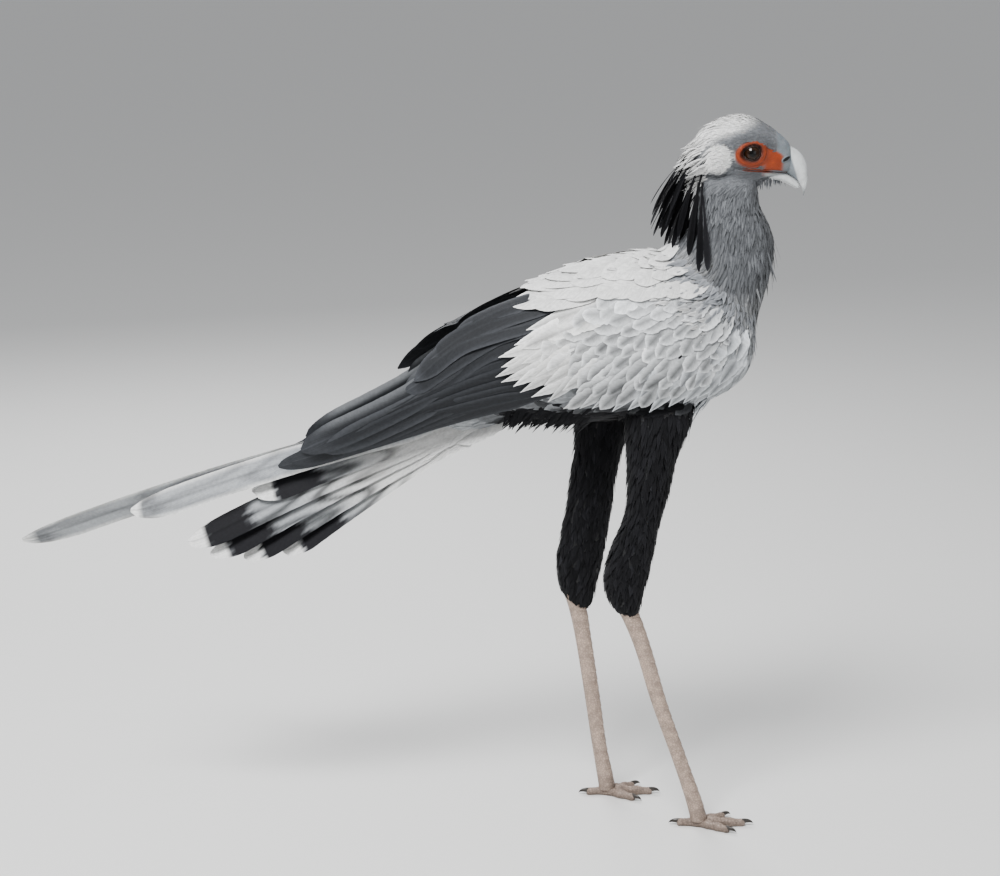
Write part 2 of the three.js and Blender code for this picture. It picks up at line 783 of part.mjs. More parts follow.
function crestSolid() {
  const plumes = [];
  for (const tier of CREST_TIERS) {
    for (let k = 0; k < tier.plumes; k++) {
      const share = (2 * k) / (tier.plumes - 1) - 1;
      const aside = Math.abs(share);
      plumes.push(
        plume({
          root: [391 + 9 * aside * aside, tier.spread * share, tier.height + vary(3)],
          reach: [0, 1].map((c) => lerp(tier.back[c], tier.flank[c], aside) + vary(5)),
          half: tier.half,
          side: share < 0 ? -1 : 1,
          open: tier.open,
          aside,
        }),
      );
    }
  }
  const pad = upright(
    [
      [868, 386, 412, 24],
      [900, 387, 414, 24],
      [930, 385, 414, 23],
      [958, 384, 412, 18],
    ],
    { sides: 12, steps: 5, lowRound: 14, highRound: 14 },
  );
  return join([pad, ...plumes]).subtract(join([skullSolid(GAP), neckSolid(GAP)]));
}

// Legs and feet.
function shankSolid(name, side) {
  const section = through(SHANK[name]);
  const top = SHANK[name][0][0];
  const bottom = SHANK[name][SHANK[name].length - 1][0];
  const levels = [top];
  const first = top - 55;
  const pitch = (first - ANKLE_CUT - 4) / SCUTES;
  for (let k = 0; k < SCUTES; k++) levels.push(first - k * pitch, first - k * pitch - 0.86 * pitch);
  levels.push(ANKLE_CUT - 4, bottom);
  const rings = levels.map((z, i) => {
    const [, x, depth, width, away] = section(z);
    const inScute = i > 0 && i <= 2 * SCUTES;
    const rise = inScute && i % 2 === 0 ? SCUTE_RISE : 0;
    const sides = 8;
    const ring = [];
    for (let j = 0; j < sides; j++) {
      const [a, b] = superellipse(depth, width, (2 * Math.PI * j) / sides, 2.2);
      const front = Math.max(0, a / depth);
      ring.push(new THREE.Vector3(x + a + rise * front, side * away + b * (1 + 0.08 * rise * front), z));
    }
    return ring;
  });
  return loft(rings);
}

const toeTurn = (turn, side) => radians(turn) * -side;
function toeSolid(name, side, [, turn, length, rootRadius, tipRadius, joints], grow = 0) {
  const [fx, fy] = FOOT[name];
  const heading = toeTurn(turn, side);
  const steps = joints * 2 + 2;
  const rings = [];
  for (let i = 0; i <= steps; i++) {
    const v = i / steps;
    const swell = 1 + 0.1 * Math.cos(2 * Math.PI * joints * v);
    const radius = lerp(rootRadius, tipRadius, v) * swell * roundEnd(1 - v + 0.02, 0.14) + grow;
    const reach = (length + grow) * v;
    const lift = 0.55 * lerp(rootRadius, tipRadius, v);
    const x = fx + reach * Math.cos(heading);
    const y = side * fy + reach * Math.sin(heading);
    const ring = [];
    for (let j = 0; j < 8; j++) {
      const angle = (2 * Math.PI * j) / 8;
      ring.push(
        new THREE.Vector3(
          x - Math.sin(heading) * radius * Math.cos(angle) * 0.92,
          y + Math.cos(heading) * radius * Math.cos(angle) * 0.92,
          lift + radius * Math.sin(angle) * 0.95,
        ),
      );
    }
    rings.push(ring);
  }
  return loft(rings);
}
function clawSolid(name, side, [, turn, length, , tipRadius]) {
  const [fx, fy] = FOOT[name];
  const heading = toeTurn(turn, side);
  const steps = 4;
  const rings = [];
  for (let i = 0; i <= steps; i++) {
    const v = i / steps;
    const reach = length - 4 + CLAW.length * Math.sin(v * 1.35);
    const height = tipRadius * 0.95 + 1.6 * Math.sin(Math.PI * v * 0.8) - CLAW.drop * 1.6 * v * v;
    const radius = Math.max(CLAW.radius * (1 - v ** 1.4), 0.35);
    const ring = [];
    for (let j = 0; j < 6; j++) {
      const angle = (2 * Math.PI * j) / 6;
      ring.push(
        new THREE.Vector3(
          fx + reach * Math.cos(heading) - Math.sin(heading) * radius * Math.cos(angle) * 0.7,
          side * fy + reach * Math.sin(heading) + Math.cos(heading) * radius * Math.cos(angle) * 0.7,
          Math.max(height, radius + 0.5) + radius * Math.sin(angle),
        ),
      );
    }
    rings.push(ring);
  }
  return loft(rings);
}

// Materials, one for each kind of surface.
const material = (color, roughness) => new THREE.MeshStandardMaterial({ color, roughness, metalness: 0 });
const PLUMAGE_GREY = material(0xb9bcc0, 0.85);
const NECK_GREY = material(0x9ea1a6, 0.85);
const PLUMAGE_BLACK = material(0x1b1b1e, 0.75);
const TAIL_GREY = material(0x8f9398, 0.75);
const FACE_SKIN = material(0xc7612c, 0.6);
const BILL_HORN = material(0xc9cdd0, 0.35);
const LEG_SKIN = material(0xb69c8b, 0.6);
const CLAW_HORN = material(0x2b2725, 0.4);
const EYE_BROWN = material(0x3a2316, 0.1);

const bird = new THREE.Group();
bird.name = "secretary_bird";
function add(name, made, look) {
  const mesh = largest(made).getMesh();
  const positions = new Float32Array(mesh.numVert * 3);
  for (let i = 0; i < mesh.numVert; i++) {
    positions.set(mesh.vertProperties.subarray(i * mesh.numProp, i * mesh.numProp + 3), i * 3);
  }
  const geometry = new THREE.BufferGeometry();
  geometry.setAttribute("position", new THREE.BufferAttribute(positions, 3));
  geometry.setIndex(new THREE.BufferAttribute(mesh.triVerts, 1));
  geometry.computeVertexNormals();
  const piece = new THREE.Mesh(geometry, look);
  piece.name = name;
  bird.add(piece);
}

add("torso", torsoSolid(), PLUMAGE_GREY);
add("rump", rumpSolid(), PLUMAGE_GREY);
add("neck", neckSolid().subtract(join([torsoSolid(GAP), skullSolid(GAP)])), NECK_GREY);
add("head", headSolid(), FACE_SKIN);
const upperBill = billSolid(BILL_UPPER).subtract(skullSolid(GAP));
add("bill_upper", upperBill.subtract(join(bothSides(nostrilCut))), BILL_HORN);
add("bill_lower", billSolid(BILL_LOWER).subtract(skullSolid(GAP)), BILL_HORN);
add("crest", crestSolid(), PLUMAGE_BLACK);
add("tail", tailSolid(), TAIL_GREY);
for (const [word, side] of [
  ["left", LEFT],
  ["right", RIGHT],
]) {
  add("eye_" + word, eyeBall(side), EYE_BROWN);
  add("wing_" + word, wingSolid(side), PLUMAGE_GREY);
  const thigh = thighSolid(word, side).subtract(join([torsoSolid(GAP), rumpSolid(GAP)]));
  add("thigh_" + word, thigh, PLUMAGE_BLACK);
  const shank = shankSolid(word, side);
  add("shank_" + word, above(shank, ANKLE_CUT + GAP / 2).subtract(thighSolid(word, side, GAP)), LEG_SKIN);
  const toes = TOES.map((toe) => toeSolid(word, side, toe));
  const foot = above(join([below(shank, ANKLE_CUT - GAP / 2), ...toes]), 0);
  add("foot_" + word, foot, LEG_SKIN);
  for (const toe of TOES) {
    const grown = toeSolid(word, side, toe, GAP);
    add("claw_" + toe[0] + "_" + word, clawSolid(word, side, toe).subtract(grown), CLAW_HORN);
  }
}

export default bird;
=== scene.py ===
import math
from itertools import product

import bpy
import numpy as np
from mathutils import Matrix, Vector
from mathutils.bvhtree import BVHTree


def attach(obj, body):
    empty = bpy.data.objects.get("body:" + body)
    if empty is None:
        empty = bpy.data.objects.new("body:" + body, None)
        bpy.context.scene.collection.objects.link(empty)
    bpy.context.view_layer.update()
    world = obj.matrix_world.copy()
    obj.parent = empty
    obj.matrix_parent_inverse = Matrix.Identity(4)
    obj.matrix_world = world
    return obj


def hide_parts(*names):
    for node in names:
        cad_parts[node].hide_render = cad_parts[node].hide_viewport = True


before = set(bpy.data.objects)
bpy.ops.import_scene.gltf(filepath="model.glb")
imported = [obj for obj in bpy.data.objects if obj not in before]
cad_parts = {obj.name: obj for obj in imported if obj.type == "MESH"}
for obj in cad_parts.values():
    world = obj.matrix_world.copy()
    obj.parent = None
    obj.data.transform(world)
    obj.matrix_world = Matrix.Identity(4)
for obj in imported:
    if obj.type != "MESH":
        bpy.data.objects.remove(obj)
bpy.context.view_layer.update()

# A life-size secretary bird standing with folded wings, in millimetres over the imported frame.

MM = 0.001
RIGHT, LEFT = -1, 1
SIDES = (("right", RIGHT), ("left", LEFT))
rng = np.random.default_rng(11)

# Sizes in millimetres, shared with the solids. +X is forward, +Y the bird's left, +Z up.
COAT, HEAD_COAT = 3.2, 1.6  # how far the skin lies inside the solids
SKIN_VOXEL = 2.3
BODY_POWER = 2.3
TORSO = [  # x, top, bottom, half width
    [92, 648, 596, 24], [130, 697, 582, 42], [170, 736, 577, 56], [220, 768, 574, 68],
    [280, 800, 577, 76], [340, 811, 586, 79], [395, 807, 599, 75], [440, 781, 618, 62],
    [464, 748, 640, 46], [480, 716, 664, 28],
]
NECK = [  # z, back, front, half width
    [690, 360, 474, 56], [730, 350, 483, 57], [765, 334, 493, 54], [795, 335, 501, 50],
    [822, 358, 503, 44], [850, 389, 494, 39], [876, 393, 481, 34], [905, 394, 478, 30],
    [926, 398, 466, 26],
]
HEAD = [  # x, top, bottom, half width
    [386, 962, 922, 17], [398, 974, 906, 25], [414, 986, 900, 31], [432, 993, 899, 34],
    [450, 996, 901, 34], [470, 992, 904, 31], [488, 983, 907, 26], [503, 973, 910, 20],
    [515, 962, 913, 15], [524, 950, 918, 11],
]
RUMP = [[40, 597, 568, 8], [80, 606, 562, 15], [110, 620, 566, 22], [150, 650, 580, 30]]  # as the torso
HEAD_LOW, THIGH_HIGH = 897, 604  # where the head's feathers begin and the thighs' end
THIGH = {  # z, back, front, half width, side y
    RIGHT: [
        [618, 300, 402, 26, 30], [597, 298, 396, 29, 37], [575, 298, 388, 32, 43],
        [530, 301, 370, 31, 49], [477, 302, 359, 27, 53], [441, 294, 349, 26, 54],
        [406, 279, 343, 25, 55], [363, 270, 334, 24, 56], [338, 275, 328, 21, 57],
        [318, 290, 324, 15, 57], [306, 305, 320, 9, 57],
    ],
    LEFT: [
        [618, 226, 330, 26, 30], [597, 228, 326, 29, 37], [575, 232, 318, 32, 43],
        [530, 233, 304, 31, 49], [480, 227, 294, 27, 53], [441, 222, 290, 26, 54],
        [402, 215, 284, 25, 55], [357, 208, 277, 24, 56], [325, 211, 270, 21, 57],
        [300, 224, 265, 15, 57], [282, 240, 258, 9, 57],
    ],
}
SHANK = {  # z, centre x, half depth, half width, side y
    RIGHT: [
        [350, 296, 13, 10, 57], [328, 301, 14.5, 11, 57], [305, 312, 13.5, 9.5, 57],
        [262, 328, 12, 8, 58], [188, 350, 11.4, 7.4, 58], [98, 382, 11, 7.4, 58],
        [40, 402, 12, 9, 58], [14, 410, 13, 11, 58],
    ],
    LEFT: [
        [335, 228, 13, 10, 57], [312, 233, 14.5, 11, 57], [288, 240, 13.5, 9.5, 57],
        [240, 249, 12, 8, 58], [150, 263, 11.4, 7.4, 58], [75, 274, 11, 7.4, 58],
        [38, 281, 12, 9, 58], [14, 286, 13, 11, 58],
    ],
}
FOOT = {RIGHT: (410, 58), LEFT: (286, 58)}
TOES = [  # name, turn in degrees, length, radius at root, radius at tip, joints
    ["middle", 0, 66, 9.5, 6, 3], ["inner", 34, 47, 8.8, 5.8, 2],
    ["outer", -32, 48, 8.6, 5.6, 3], ["hind", 176, 30, 8, 5.6, 1],
]
CLAW_LENGTH, CLAW_RADIUS = 17, 4.2
SCUTE, TOE_SCUTE = 13.5, 5.2  # the length of one scute on the leg and on the toes
BILL_UPPER = [  # ridge x, ridge z, edge x, edge z, half width
    [504, 962, 494, 926, 14], [516, 955, 507, 920.5, 12.5], [528, 949, 518, 915, 11],
    [537, 940, 526, 909.5, 9.4], [542.5, 927, 532, 904, 7.4], [544, 912, 535.5, 898, 5.2],
    [542.5, 899, 537.5, 893, 2.8], [539, 887, 538.4, 886.6, 0.8],
]
BILL_LOWER = [
    [494, 922.2, 490, 909, 12.5], [507, 920.4, 503, 907.6, 11], [518, 915.2, 514, 903.8, 9.4],
    [525.5, 909.8, 522, 899.8, 7.4], [531, 904.2, 529, 896.8, 4.6], [533.6, 899.4, 532.8, 897.2, 1],
]
MOUTH = [[443, 925.5], [478, 922.6], [530, 916.9]]
MOUTH_BACK, MOUTH_FRONT = 441, 532
EYE_X, EYE_Y, EYE_Z, EYE_R = 465, 20.6, 946.5, 12.6
BROW_RADII, CHEEK_RADII = (19, 7, 4.4), (22, 12.5, 24)
EYE_OPEN = (10.6, 8.5)  # half length and half height of the opening between the lids
LID_FOLDS = [  # share of the opening, height over the eyeball (the lower, the more painted shade), share of the way to the skin
    (0.95, -0.7, 0), (0.97, 0.3, 0), (1.01, 0.95, 0.03), (1.07, 1.1, 0.12), (1.14, 0.7, 0.3),
    (1.2, 0.2, 0.45), (1.26, 0.6, 0.6), (1.33, 0.9, 0.75), (1.4, 0.45, 0.85), (1.48, 0.85, 0.95),
    (1.56, 0.9, 1), (1.64, 0.4, 1), (1.72, 0.7, 1), (1.82, 0.35, 1), (1.92, 0.3, 1), (2.02, -0.5, 1),
    (2.1, -1.6, 1),
]
NOSTRIL_FOLDS = [  # share of the slit, height over the skin, how much painted shade of the opening
    (0.03, 0.25, 1), (0.5, 0.25, 1), (0.8, 0.3, 1), (0.97, 0.55, 0.9), (1.12, 0.95, 0.4), (1.3, 1.0, 0.1),
    (1.5, 0.8, 0), (1.8, 0.45, 0), (2.1, 0, 0), (2.4, -0.8, 0),
]
NOSTRIL = (512.5, 937.5, 5.4, 1.9, 0.55)  # x, z, half length, half height, tilt
WING_ENVELOPE = [  # x, top, bottom, half width
    [-190, 556, 486, 35], [-140, 580, 494, 42], [-80, 616, 506, 48], [-20, 655, 521, 54],
    [40, 695, 537, 60], [100, 729, 551, 69], [150, 754, 559, 77], [200, 776, 564, 84],
    [260, 796, 567, 89], [320, 804, 574, 92], [380, 800, 586, 88], [430, 784, 603, 77],
    [465, 755, 628, 58], [490, 718, 662, 28],
]
COVERT_BORDER = [  # place along the border, x, z
    [0, 449, 668], [1, 426, 638], [2, 392, 619], [3, 330, 608], [4, 263, 606],
    [5, 209, 616], [6, 160, 633], [7, 128, 650], [8, 128, 684], [9, 168, 712],
]
COVERTS_LOW = [  # x, z
    [120, 668], [160, 640], [209, 624], [263, 615], [330, 616], [392, 628], [426, 646], [449, 672],
]
COVERT_CENTRE = (296, 706)
ARM_INSET = 14  # how far over the coverts' border the flesh of the wing begins
FLIGHT = [  # root, two places on the way and tip, as x, z, and half width; the lowest first
    [(206, 628), (100, 600), (-40, 556), (-176, 513), 16],
    [(208, 640), (100, 610), (-40, 562), (-158, 522), 17],
    [(214, 652), (110, 622), (0, 577), (-100, 541), 18],
    [(220, 670), (120, 640), (28, 598), (-78, 547), 19],
    [(230, 698), (123, 672), (30, 612), (-112, 540), 20],
    [(240, 726), (119, 694), (0, 614), (-143, 542), 20.5],
    [(246, 738), (140, 714), (60, 668), (2, 628), 16],
]
FRINGE_HIGHLIGHT = {  # how strong the highlight painted along the upper edge of each flight feather is, stronger on the left wing
    RIGHT: (0, 0, 0, 0, 0.04, 0.2, 0.15), LEFT: (0, 0, 0, 0, 0.12, 0.8, 0.45),
}
TERTIALS = [  # root, one place on the way and tip, as x, z, and half width
    [(262, 750), (74, 690), (13, 641), 16], [(262, 770), (92, 708), (34, 668), 16],
    [(254, 780), (120, 729), (66, 700), 15],
]
TERTIAL_SHIFT = {  # how far their root, the place on the way and the tip are moved, as x and z
    RIGHT: [(0, 0), (0, 0), (0, 0)], LEFT: [(0, 0), (-14, -2), (-27, -3)],
}
SCAPULARS = [  # piece, first tip and last tip as x and z, rise between, count, length, half width, lift
    ("scapulars_low_", (366, 760), (142, 737), 14, 11, 118, 19, 4.2),
    ("scapulars_mid_", (352, 778), (158, 752), 14, 10, 110, 20, 5.2),
    ("scapulars_top_", (338, 793), (190, 768), 10, 9, 96, 19, 6.2),
]
TAIL_ROOT = (104, 598)
TAIL_PAIRS = [  # right length, left length, pitch, sag, half width
    [512, 676, 12, 4.8, 20], [336, 342, 17.5, 3, 19], [448, 442, 20.5, 4, 19],
    [424, 418, 24, 4, 18], [382, 386, 28, 3.5, 18], [328, 322, 32, 3, 17],
]
TAIL_ROLL = 62
# How wide the white tip and the dark band of a tail feather are, how dark and how blotched.
MIDDLE_MARKS, TAIL_MARKS = (14, 40, 0.4, 0.3), (27, 98, 1.0, 0.75)
CREST_TIERS = [  # height, count, spread, reach of the middle and outer ones as x and z, half width, opening
    (953, 6, 13, (-62, -92), (-46, -84), 3.6, 1.6), (938, 7, 17, (-61, -97), (-36, -98), 4.6, 1.8),
    (922, 7, 19, (-52, -94), (-22, -110), 5.2, 2.1), (906, 7, 21, (-38, -84), (-4, -112), 5.4, 2.3),
    (888, 6, 23, (-26, -56), (8, -96), 5.0, 2.4), (947, 9, 15, (-58, -70), (-50, -96), 1.2, 1.9),
    (925, 9, 20, (-56, -84), (-20, -100), 1.3, 2.3),
]


# Colours, linear.
def vec(*numbers):
    return np.array(numbers, float)


WHITE, PALE, GREY = vec(0.74, 0.74, 0.73), vec(0.52, 0.54, 0.56), vec(0.23, 0.24, 0.255)
SLATE, BLACK = vec(0.034, 0.036, 0.04), vec(0.012, 0.012, 0.014)
# The second face colour, used near the eye, is partly darker skin and partly painted shade of the socket and
# the lashes.
FACE, FACE_DARK_AND_SHADED = vec(0.35, 0.058, 0.013), vec(0.09, 0.022, 0.012)
# The first colour is painted shade in the crease of the closed mouth.
MOUTH_CREASE_SHADE, LID_EDGE = vec(0.05, 0.02, 0.015), vec(0.02, 0.012, 0.01)
IRIS_DEEP, IRIS_LIGHT = vec(0.014, 0.007, 0.004), vec(0.05, 0.022, 0.01)
PUPIL, EYE_RIM = vec(0.003, 0.003, 0.003), vec(0.012, 0.008, 0.006)
CERE, HORN, BILL_TIP = vec(0.21, 0.235, 0.255), vec(0.6, 0.62, 0.62), vec(0.12, 0.13, 0.14)
# Painted shade: the near black that stands for the inside of the nostril's opening.
NOSTRIL_SHADE = vec(0.008, 0.008, 0.008)
LEG, NAIL_ROOT, NAIL_TIP = vec(0.46, 0.36, 0.30), vec(0.06, 0.052, 0.046), vec(0.022, 0.02, 0.018)
FLOOR_PALE, SKY = (0.78, 0.78, 0.77, 1), (0.82, 0.83, 0.85, 1)

# Which way the coat lies on each region, before it is laid flat on the skin.
ALONG_BACK, DOWN_BREAST = vec(-1, 0, -0.16), vec(-0.55, 0, -1)
DOWN_NECK, OFF_NECK = vec(-0.08, 0, -1), vec(-1, 0, -0.42)
OVER_CROWN, DOWN_NAPE = vec(-1, 0, -0.12), vec(-0.62, 0, -0.75)
DOWN_THIGH = vec(-0.12, 0, -1)


# Numbers.
def at(value, p):
    """A number, a colour or a function of place, as one value for each place."""
    return value(p) if callable(value) else np.full((len(p), *np.shape(value)), value, float)


def turns(count):
    return 2 * np.pi * np.arange(count) / count


def smooth(a, b, x):
    t = np.clip((x - a) / (b - a), 0, 1)
    return t * t * (3 - 2 * t)


def mix(a, b, t):
    return a + (b - a) * t


def unit(v):
    return v / np.maximum(np.linalg.norm(v, axis=-1, keepdims=True), 1e-9)


class Curve:
    """A smooth curve through rows keyed by their first number, which never overshoots them."""

    def __init__(self, rows):
        rows = np.array(sorted(rows), float)
        self.key, self.rest = rows[:, 0], rows[:, 1:]
        secant = np.diff(self.rest, axis=0) / np.diff(self.key)[:, None]
        before, after = np.vstack([secant[:1], secant]), np.vstack([secant, secant[-1:]])
        both, total = before * after, before + after
        self.slope = np.where(both > 0, 2 * both / np.where(total == 0, 1, total), 0)

    def __call__(self, key):
        at = np.clip(np.asarray(key, float), self.key[0], self.key[-1])
        i = np.clip(np.searchsorted(self.key, at, side="right") - 1, 0, len(self.key) - 2)
        span = (self.key[i + 1] - self.key[i])[..., None]
        t = (at - self.key[i])[..., None] / span
        return (
            (1 + 2 * t) * (1 - t) ** 2 * self.rest[i] + t * (1 - t) ** 2 * span * self.slope[i]
            + t * t * (3 - 2 * t) * self.rest[i + 1] + t * t * (t - 1) * span * self.slope[i + 1]
        )


def superellipse(a, b, angle, power):
    c, s = np.cos(angle), np.sin(angle)
    return (a * np.sign(c) * np.abs(c) ** (2 / power), b * np.sign(s) * np.abs(s) ** (2 / power))


# Meshes.
def mesh_object(name, points, faces, material, tint=None, maps=None, crease=0):
    """points in millimetres, faces as an array of quads or triangles, tint and maps per point."""
    faces = np.asarray(faces, np.int32)
    sides = faces.shape[1]
    mesh = bpy.data.meshes.new(name)
    mesh.vertices.add(len(points))
    mesh.vertices.foreach_set("co", (np.asarray(points, np.float32) * MM).ravel())
    mesh.loops.add(faces.size)
    mesh.loops.foreach_set("vertex_index", faces.ravel())
    mesh.polygons.add(len(faces))
    mesh.polygons.foreach_set("loop_start", np.arange(0, faces.size, sides, dtype=np.int32))
    mesh.update(calc_edges=True)
    for label, uv in (maps or {}).items():
        layer = mesh.uv_layers.new(name=label)
        layer.data.foreach_set("uv", np.asarray(uv, np.float32)[faces.ravel()].ravel())
    if tint is not None:
        layer = mesh.color_attributes.new("tint", "FLOAT_COLOR", "POINT")
        rgba = np.ones((len(points), 4), np.float32)
        rgba[:, :3] = np.clip(tint, 0, 1)
        layer.data.foreach_set("color", rgba.ravel())
    mesh.polygons.foreach_set("use_smooth", np.ones(len(faces), bool))
    if crease:
        mesh.set_sharp_from_angle(angle=math.radians(crease))
    mesh.materials.append(material)
    made = bpy.data.objects.new(name, mesh)
    bpy.context.scene.collection.objects.link(made)
    return made


def grid_faces(rows, columns, ring=False):
    """Quads over a grid of points, joined round if ring."""
    i, j = np.meshgrid(np.arange(rows - 1), np.arange(columns if ring else columns - 1), indexing="ij")
    a, b = i * columns + j, i * columns + (j + 1) % columns
    return np.stack([a, b, b + columns, a + columns], -1).reshape(-1, 4)


def capped(rings):
    """Points and quads of a closed loft over rings [ring, side, xyz], its ends fanned."""
    count, sides = rings.shape[:2]
    points = np.vstack([rings.reshape(-1, 3), rings[0].mean(0), rings[-1].mean(0)])
    first = count * sides
    j = np.arange(0, sides, 2)
    start = np.stack([np.full_like(j, first), (j + 2) % sides, (j + 1) % sides, j], -1)
    end = (count - 1) * sides
    around = [end + (j + step) % sides for step in (0, 1, 2)]
    stop = np.stack([np.full_like(j, first + 1), *around], -1)
    return points, np.vstack([grid_faces(count, sides, ring=True), start, stop])


def tube(line, radius, sides, axis):
    """A closed tube along a line, each ring flat across one axis."""
    ring = np.insert(np.stack([np.cos(turns(sides)), np.sin(turns(sides))], -1), axis, 0, axis=1)
    return capped(line[:, None] + radius[:, None, None] * ring)


def gather(parts):
    """Joins [(points, faces), ...] into one pair."""
    points, faces, offset = [], [], 0
    for p, f in parts:
        points.append(p)
        faces.append(np.asarray(f) + offset)
        offset += len(p)
    return np.vstack(points), np.vstack(faces)


def dress(obj, slot, *nodes):
    """Every piece rides on the one body and stands for its nodes; its slot is not used."""
    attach(obj, "root")
    if nodes:
        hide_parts(*nodes)
    return obj


# Materials.
class Tree:
    """The node tree of a material or a world, built by short calls."""

    def __init__(self, owner, shader="Principled BSDF"):
        owner.use_nodes = True
        self.owner, self.nodes, self.links = owner, owner.node_tree.nodes, owner.node_tree.links
        self.shader = self.nodes[shader]

    def fill(self, node, inputs):
        for socket, value in inputs.items():
            if isinstance(value, bpy.types.NodeSocket):
                self.links.new(value, node.inputs[socket])
            else:
                node.inputs[socket].default_value = value

    def add(self, kind, inputs=None, **settings):
        """A new node with its settings and inputs filled in. Gives its outputs."""
        node = self.nodes.new("ShaderNode" + kind)
        for setting, value in settings.items():
            setattr(node, setting, value)
        self.fill(node, inputs or {})
        return node.outputs

    def math(self, operation, a, b=0.0):
        return self.add("Math", {0: a, 1: b}, operation=operation)[0]

    def ranged(self, value, low, high, start, stop):
        return self.add("MapRange", {
            "Value": value, "From Min": low, "From Max": high, "To Min": start, "To Max": stop})[0]

    def scaled(self, colour, share):
        return self.add("VectorMath", {0: colour, "Scale": share}, operation="SCALE")[0]

    def place(self):
        return self.add("TexCoord")["Object"]

    def noise(self, scale, **more):
        return self.add("TexNoise", {"Vector": self.place(), "Scale": scale, **more})["Fac"]

    def tinted(self, scale, amount):
        """The painted tint, made uneven by noise."""
        tint = self.add("VertexColor", layer_name="tint")[0]
        return self.scaled(tint, self.ranged(self.noise(scale, Detail=5), 0.3, 0.7, 1 - amount, 1 + amount))

    def bump(self, height, strength, distance, below=None):
        """Relief on the shader, over the relief below if there is one."""
        inputs = {"Height": height, "Strength": strength, "Distance": distance}
        normal = self.add("Bump", {**inputs, "Normal": below} if below else inputs)[0]
        self.fill(self.shader, {"Normal": normal})
        return normal

    def finish(self, **inputs):
        """Fills the shader's own sockets, named here with _ for each space."""
        self.fill(self.shader, {name.replace("_", " "): value for name, value in inputs.items()})
        return self.owner


def feather_material(name, rough, barbs, strength, sheen):
    """Vanes with slanting barbs on both sides of a shaft, from the map named vane."""
    tree = Tree(bpy.data.materials.new(name))
    x, y, _ = tree.add("SeparateXYZ", {0: tree.add("UVMap", uv_map="vane")[0]})
    side = tree.math("ABSOLUTE", tree.math("SUBTRACT", x, 0.5))
    along = tree.math("SUBTRACT", y, tree.math("MULTIPLY", side, 0.5))
    lines = tree.add("CombineXYZ", {"X": side, "Y": along})[0]
    stretched = tree.add("VectorMath", {0: lines, 1: (2.5, barbs, 1)}, operation="MULTIPLY")[0]
    noise = tree.add("TexNoise", {"Vector": stretched, "Scale": 1, "Detail": 3, "Roughness": 0.6})["Fac"]
    tree.bump(noise, strength, 0.0006)
    return tree.finish(
        Base_Color=tree.scaled(tree.tinted(240, 0.1), tree.ranged(noise, 0.32, 0.68, 0.8, 1.16)),
        Roughness=rough, Specular_IOR_Level=0.22, Sheen_Weight=sheen, Sheen_Roughness=0.5)


def scaled_material(name, rough, cell, strength, amount, deep, subsurface=0.0, coat=0.0):
    """Skin or scales: the tint over a net of small cells."""
    tree = Tree(bpy.data.materials.new(name))
    net = {"Vector": tree.place(), "Scale": 1 / (cell * MM)}
    edge = tree.ranged(tree.add("TexVoronoi", net, feature="DISTANCE_TO_EDGE")["Distance"], 0, 0.22, 0, 1)
    grain = tree.bump(tree.noise(900), 0.25, 0.0004)
    tree.bump(edge, strength, 0.0007, grain)
    return tree.finish(
        Base_Color=tree.scaled(tree.tinted(90, amount), tree.ranged(edge, 0, 1, deep, 1.04)),
        Roughness=rough, Subsurface_Weight=subsurface, Subsurface_Radius=(0.004, 0.0015, 0.0008),
        Subsurface_Scale=1, Coat_Weight=coat, Coat_Roughness=0.25)


def horn_material(name, rough, amount, coat):
    """Horn with a fine grain."""
    tree = Tree(bpy.data.materials.new(name))
    tree.bump(tree.noise(420, Detail=6), 0.12, 0.0005)
    return tree.finish(
        Base_Color=tree.tinted(160, amount), Roughness=rough, Coat_Weight=coat, Coat_Roughness=0.15)


def eye_material():
    tree = Tree(bpy.data.materials.new("eye_surface"))
    return tree.finish(
        Base_Color=tree.tinted(700, 0.35), Roughness=0.12, Specular_IOR_Level=0.15, Coat_Weight=0.5,
        Coat_Roughness=0.02)


DOWN = feather_material("body_feathers", 0.85, 26, 0.35, 0.12)
VANED = feather_material("wing_feathers", 0.75, 60, 0.3, 0.08)
QUILLED = feather_material("flight_feathers", 0.6, 190, 0.3, 0.02)
PLUMED = feather_material("crest_feathers", 0.65, 90, 0.3, 0.02)
BARE = scaled_material("bare_skin", 0.5, 1.3, 0.35, 0.2, deep=0.85, subsurface=0.12, coat=0.12)
SCALED = scaled_material("leg_scales", 0.5, 3.4, 0.7, 0.22, deep=0.7, coat=0.12)
HORNED = horn_material("bill_horn", 0.32, 0.12, 0.35)
CLAWED = horn_material("claw_horn", 0.35, 0.25, 0.3)
EYE = eye_material()


# Body forms.
def round_end(to_end, stretch):
    return np.sqrt(np.clip(1 - np.maximum(0, 1 - to_end / stretch) ** 2, 0.006, 1))


def lengthwise(rows, sides, steps, grow, rear_round, front_round, power=BODY_POWER):
    section = Curve(rows)
    rear, front = rows[0][0] - grow, rows[-1][0] + grow
    t = np.linspace(0, 1, steps + 1)
    x = mix(rear, front, mix(0.5 - 0.5 * np.cos(np.pi * t), t, 0.55))
    top, bottom, half = section(x).T
    shrink = np.minimum(round_end(x - rear, rear_round), round_end(front - x, front_round))
    y, z = superellipse((half + grow)[:, None], ((top - bottom) / 2 + grow)[:, None], turns(sides), power)
    middle, shrink = ((top + bottom) / 2)[:, None], shrink[:, None]
    return capped(np.stack([np.broadcast_to(x[:, None], y.shape), y * shrink, middle + z * shrink], -1))


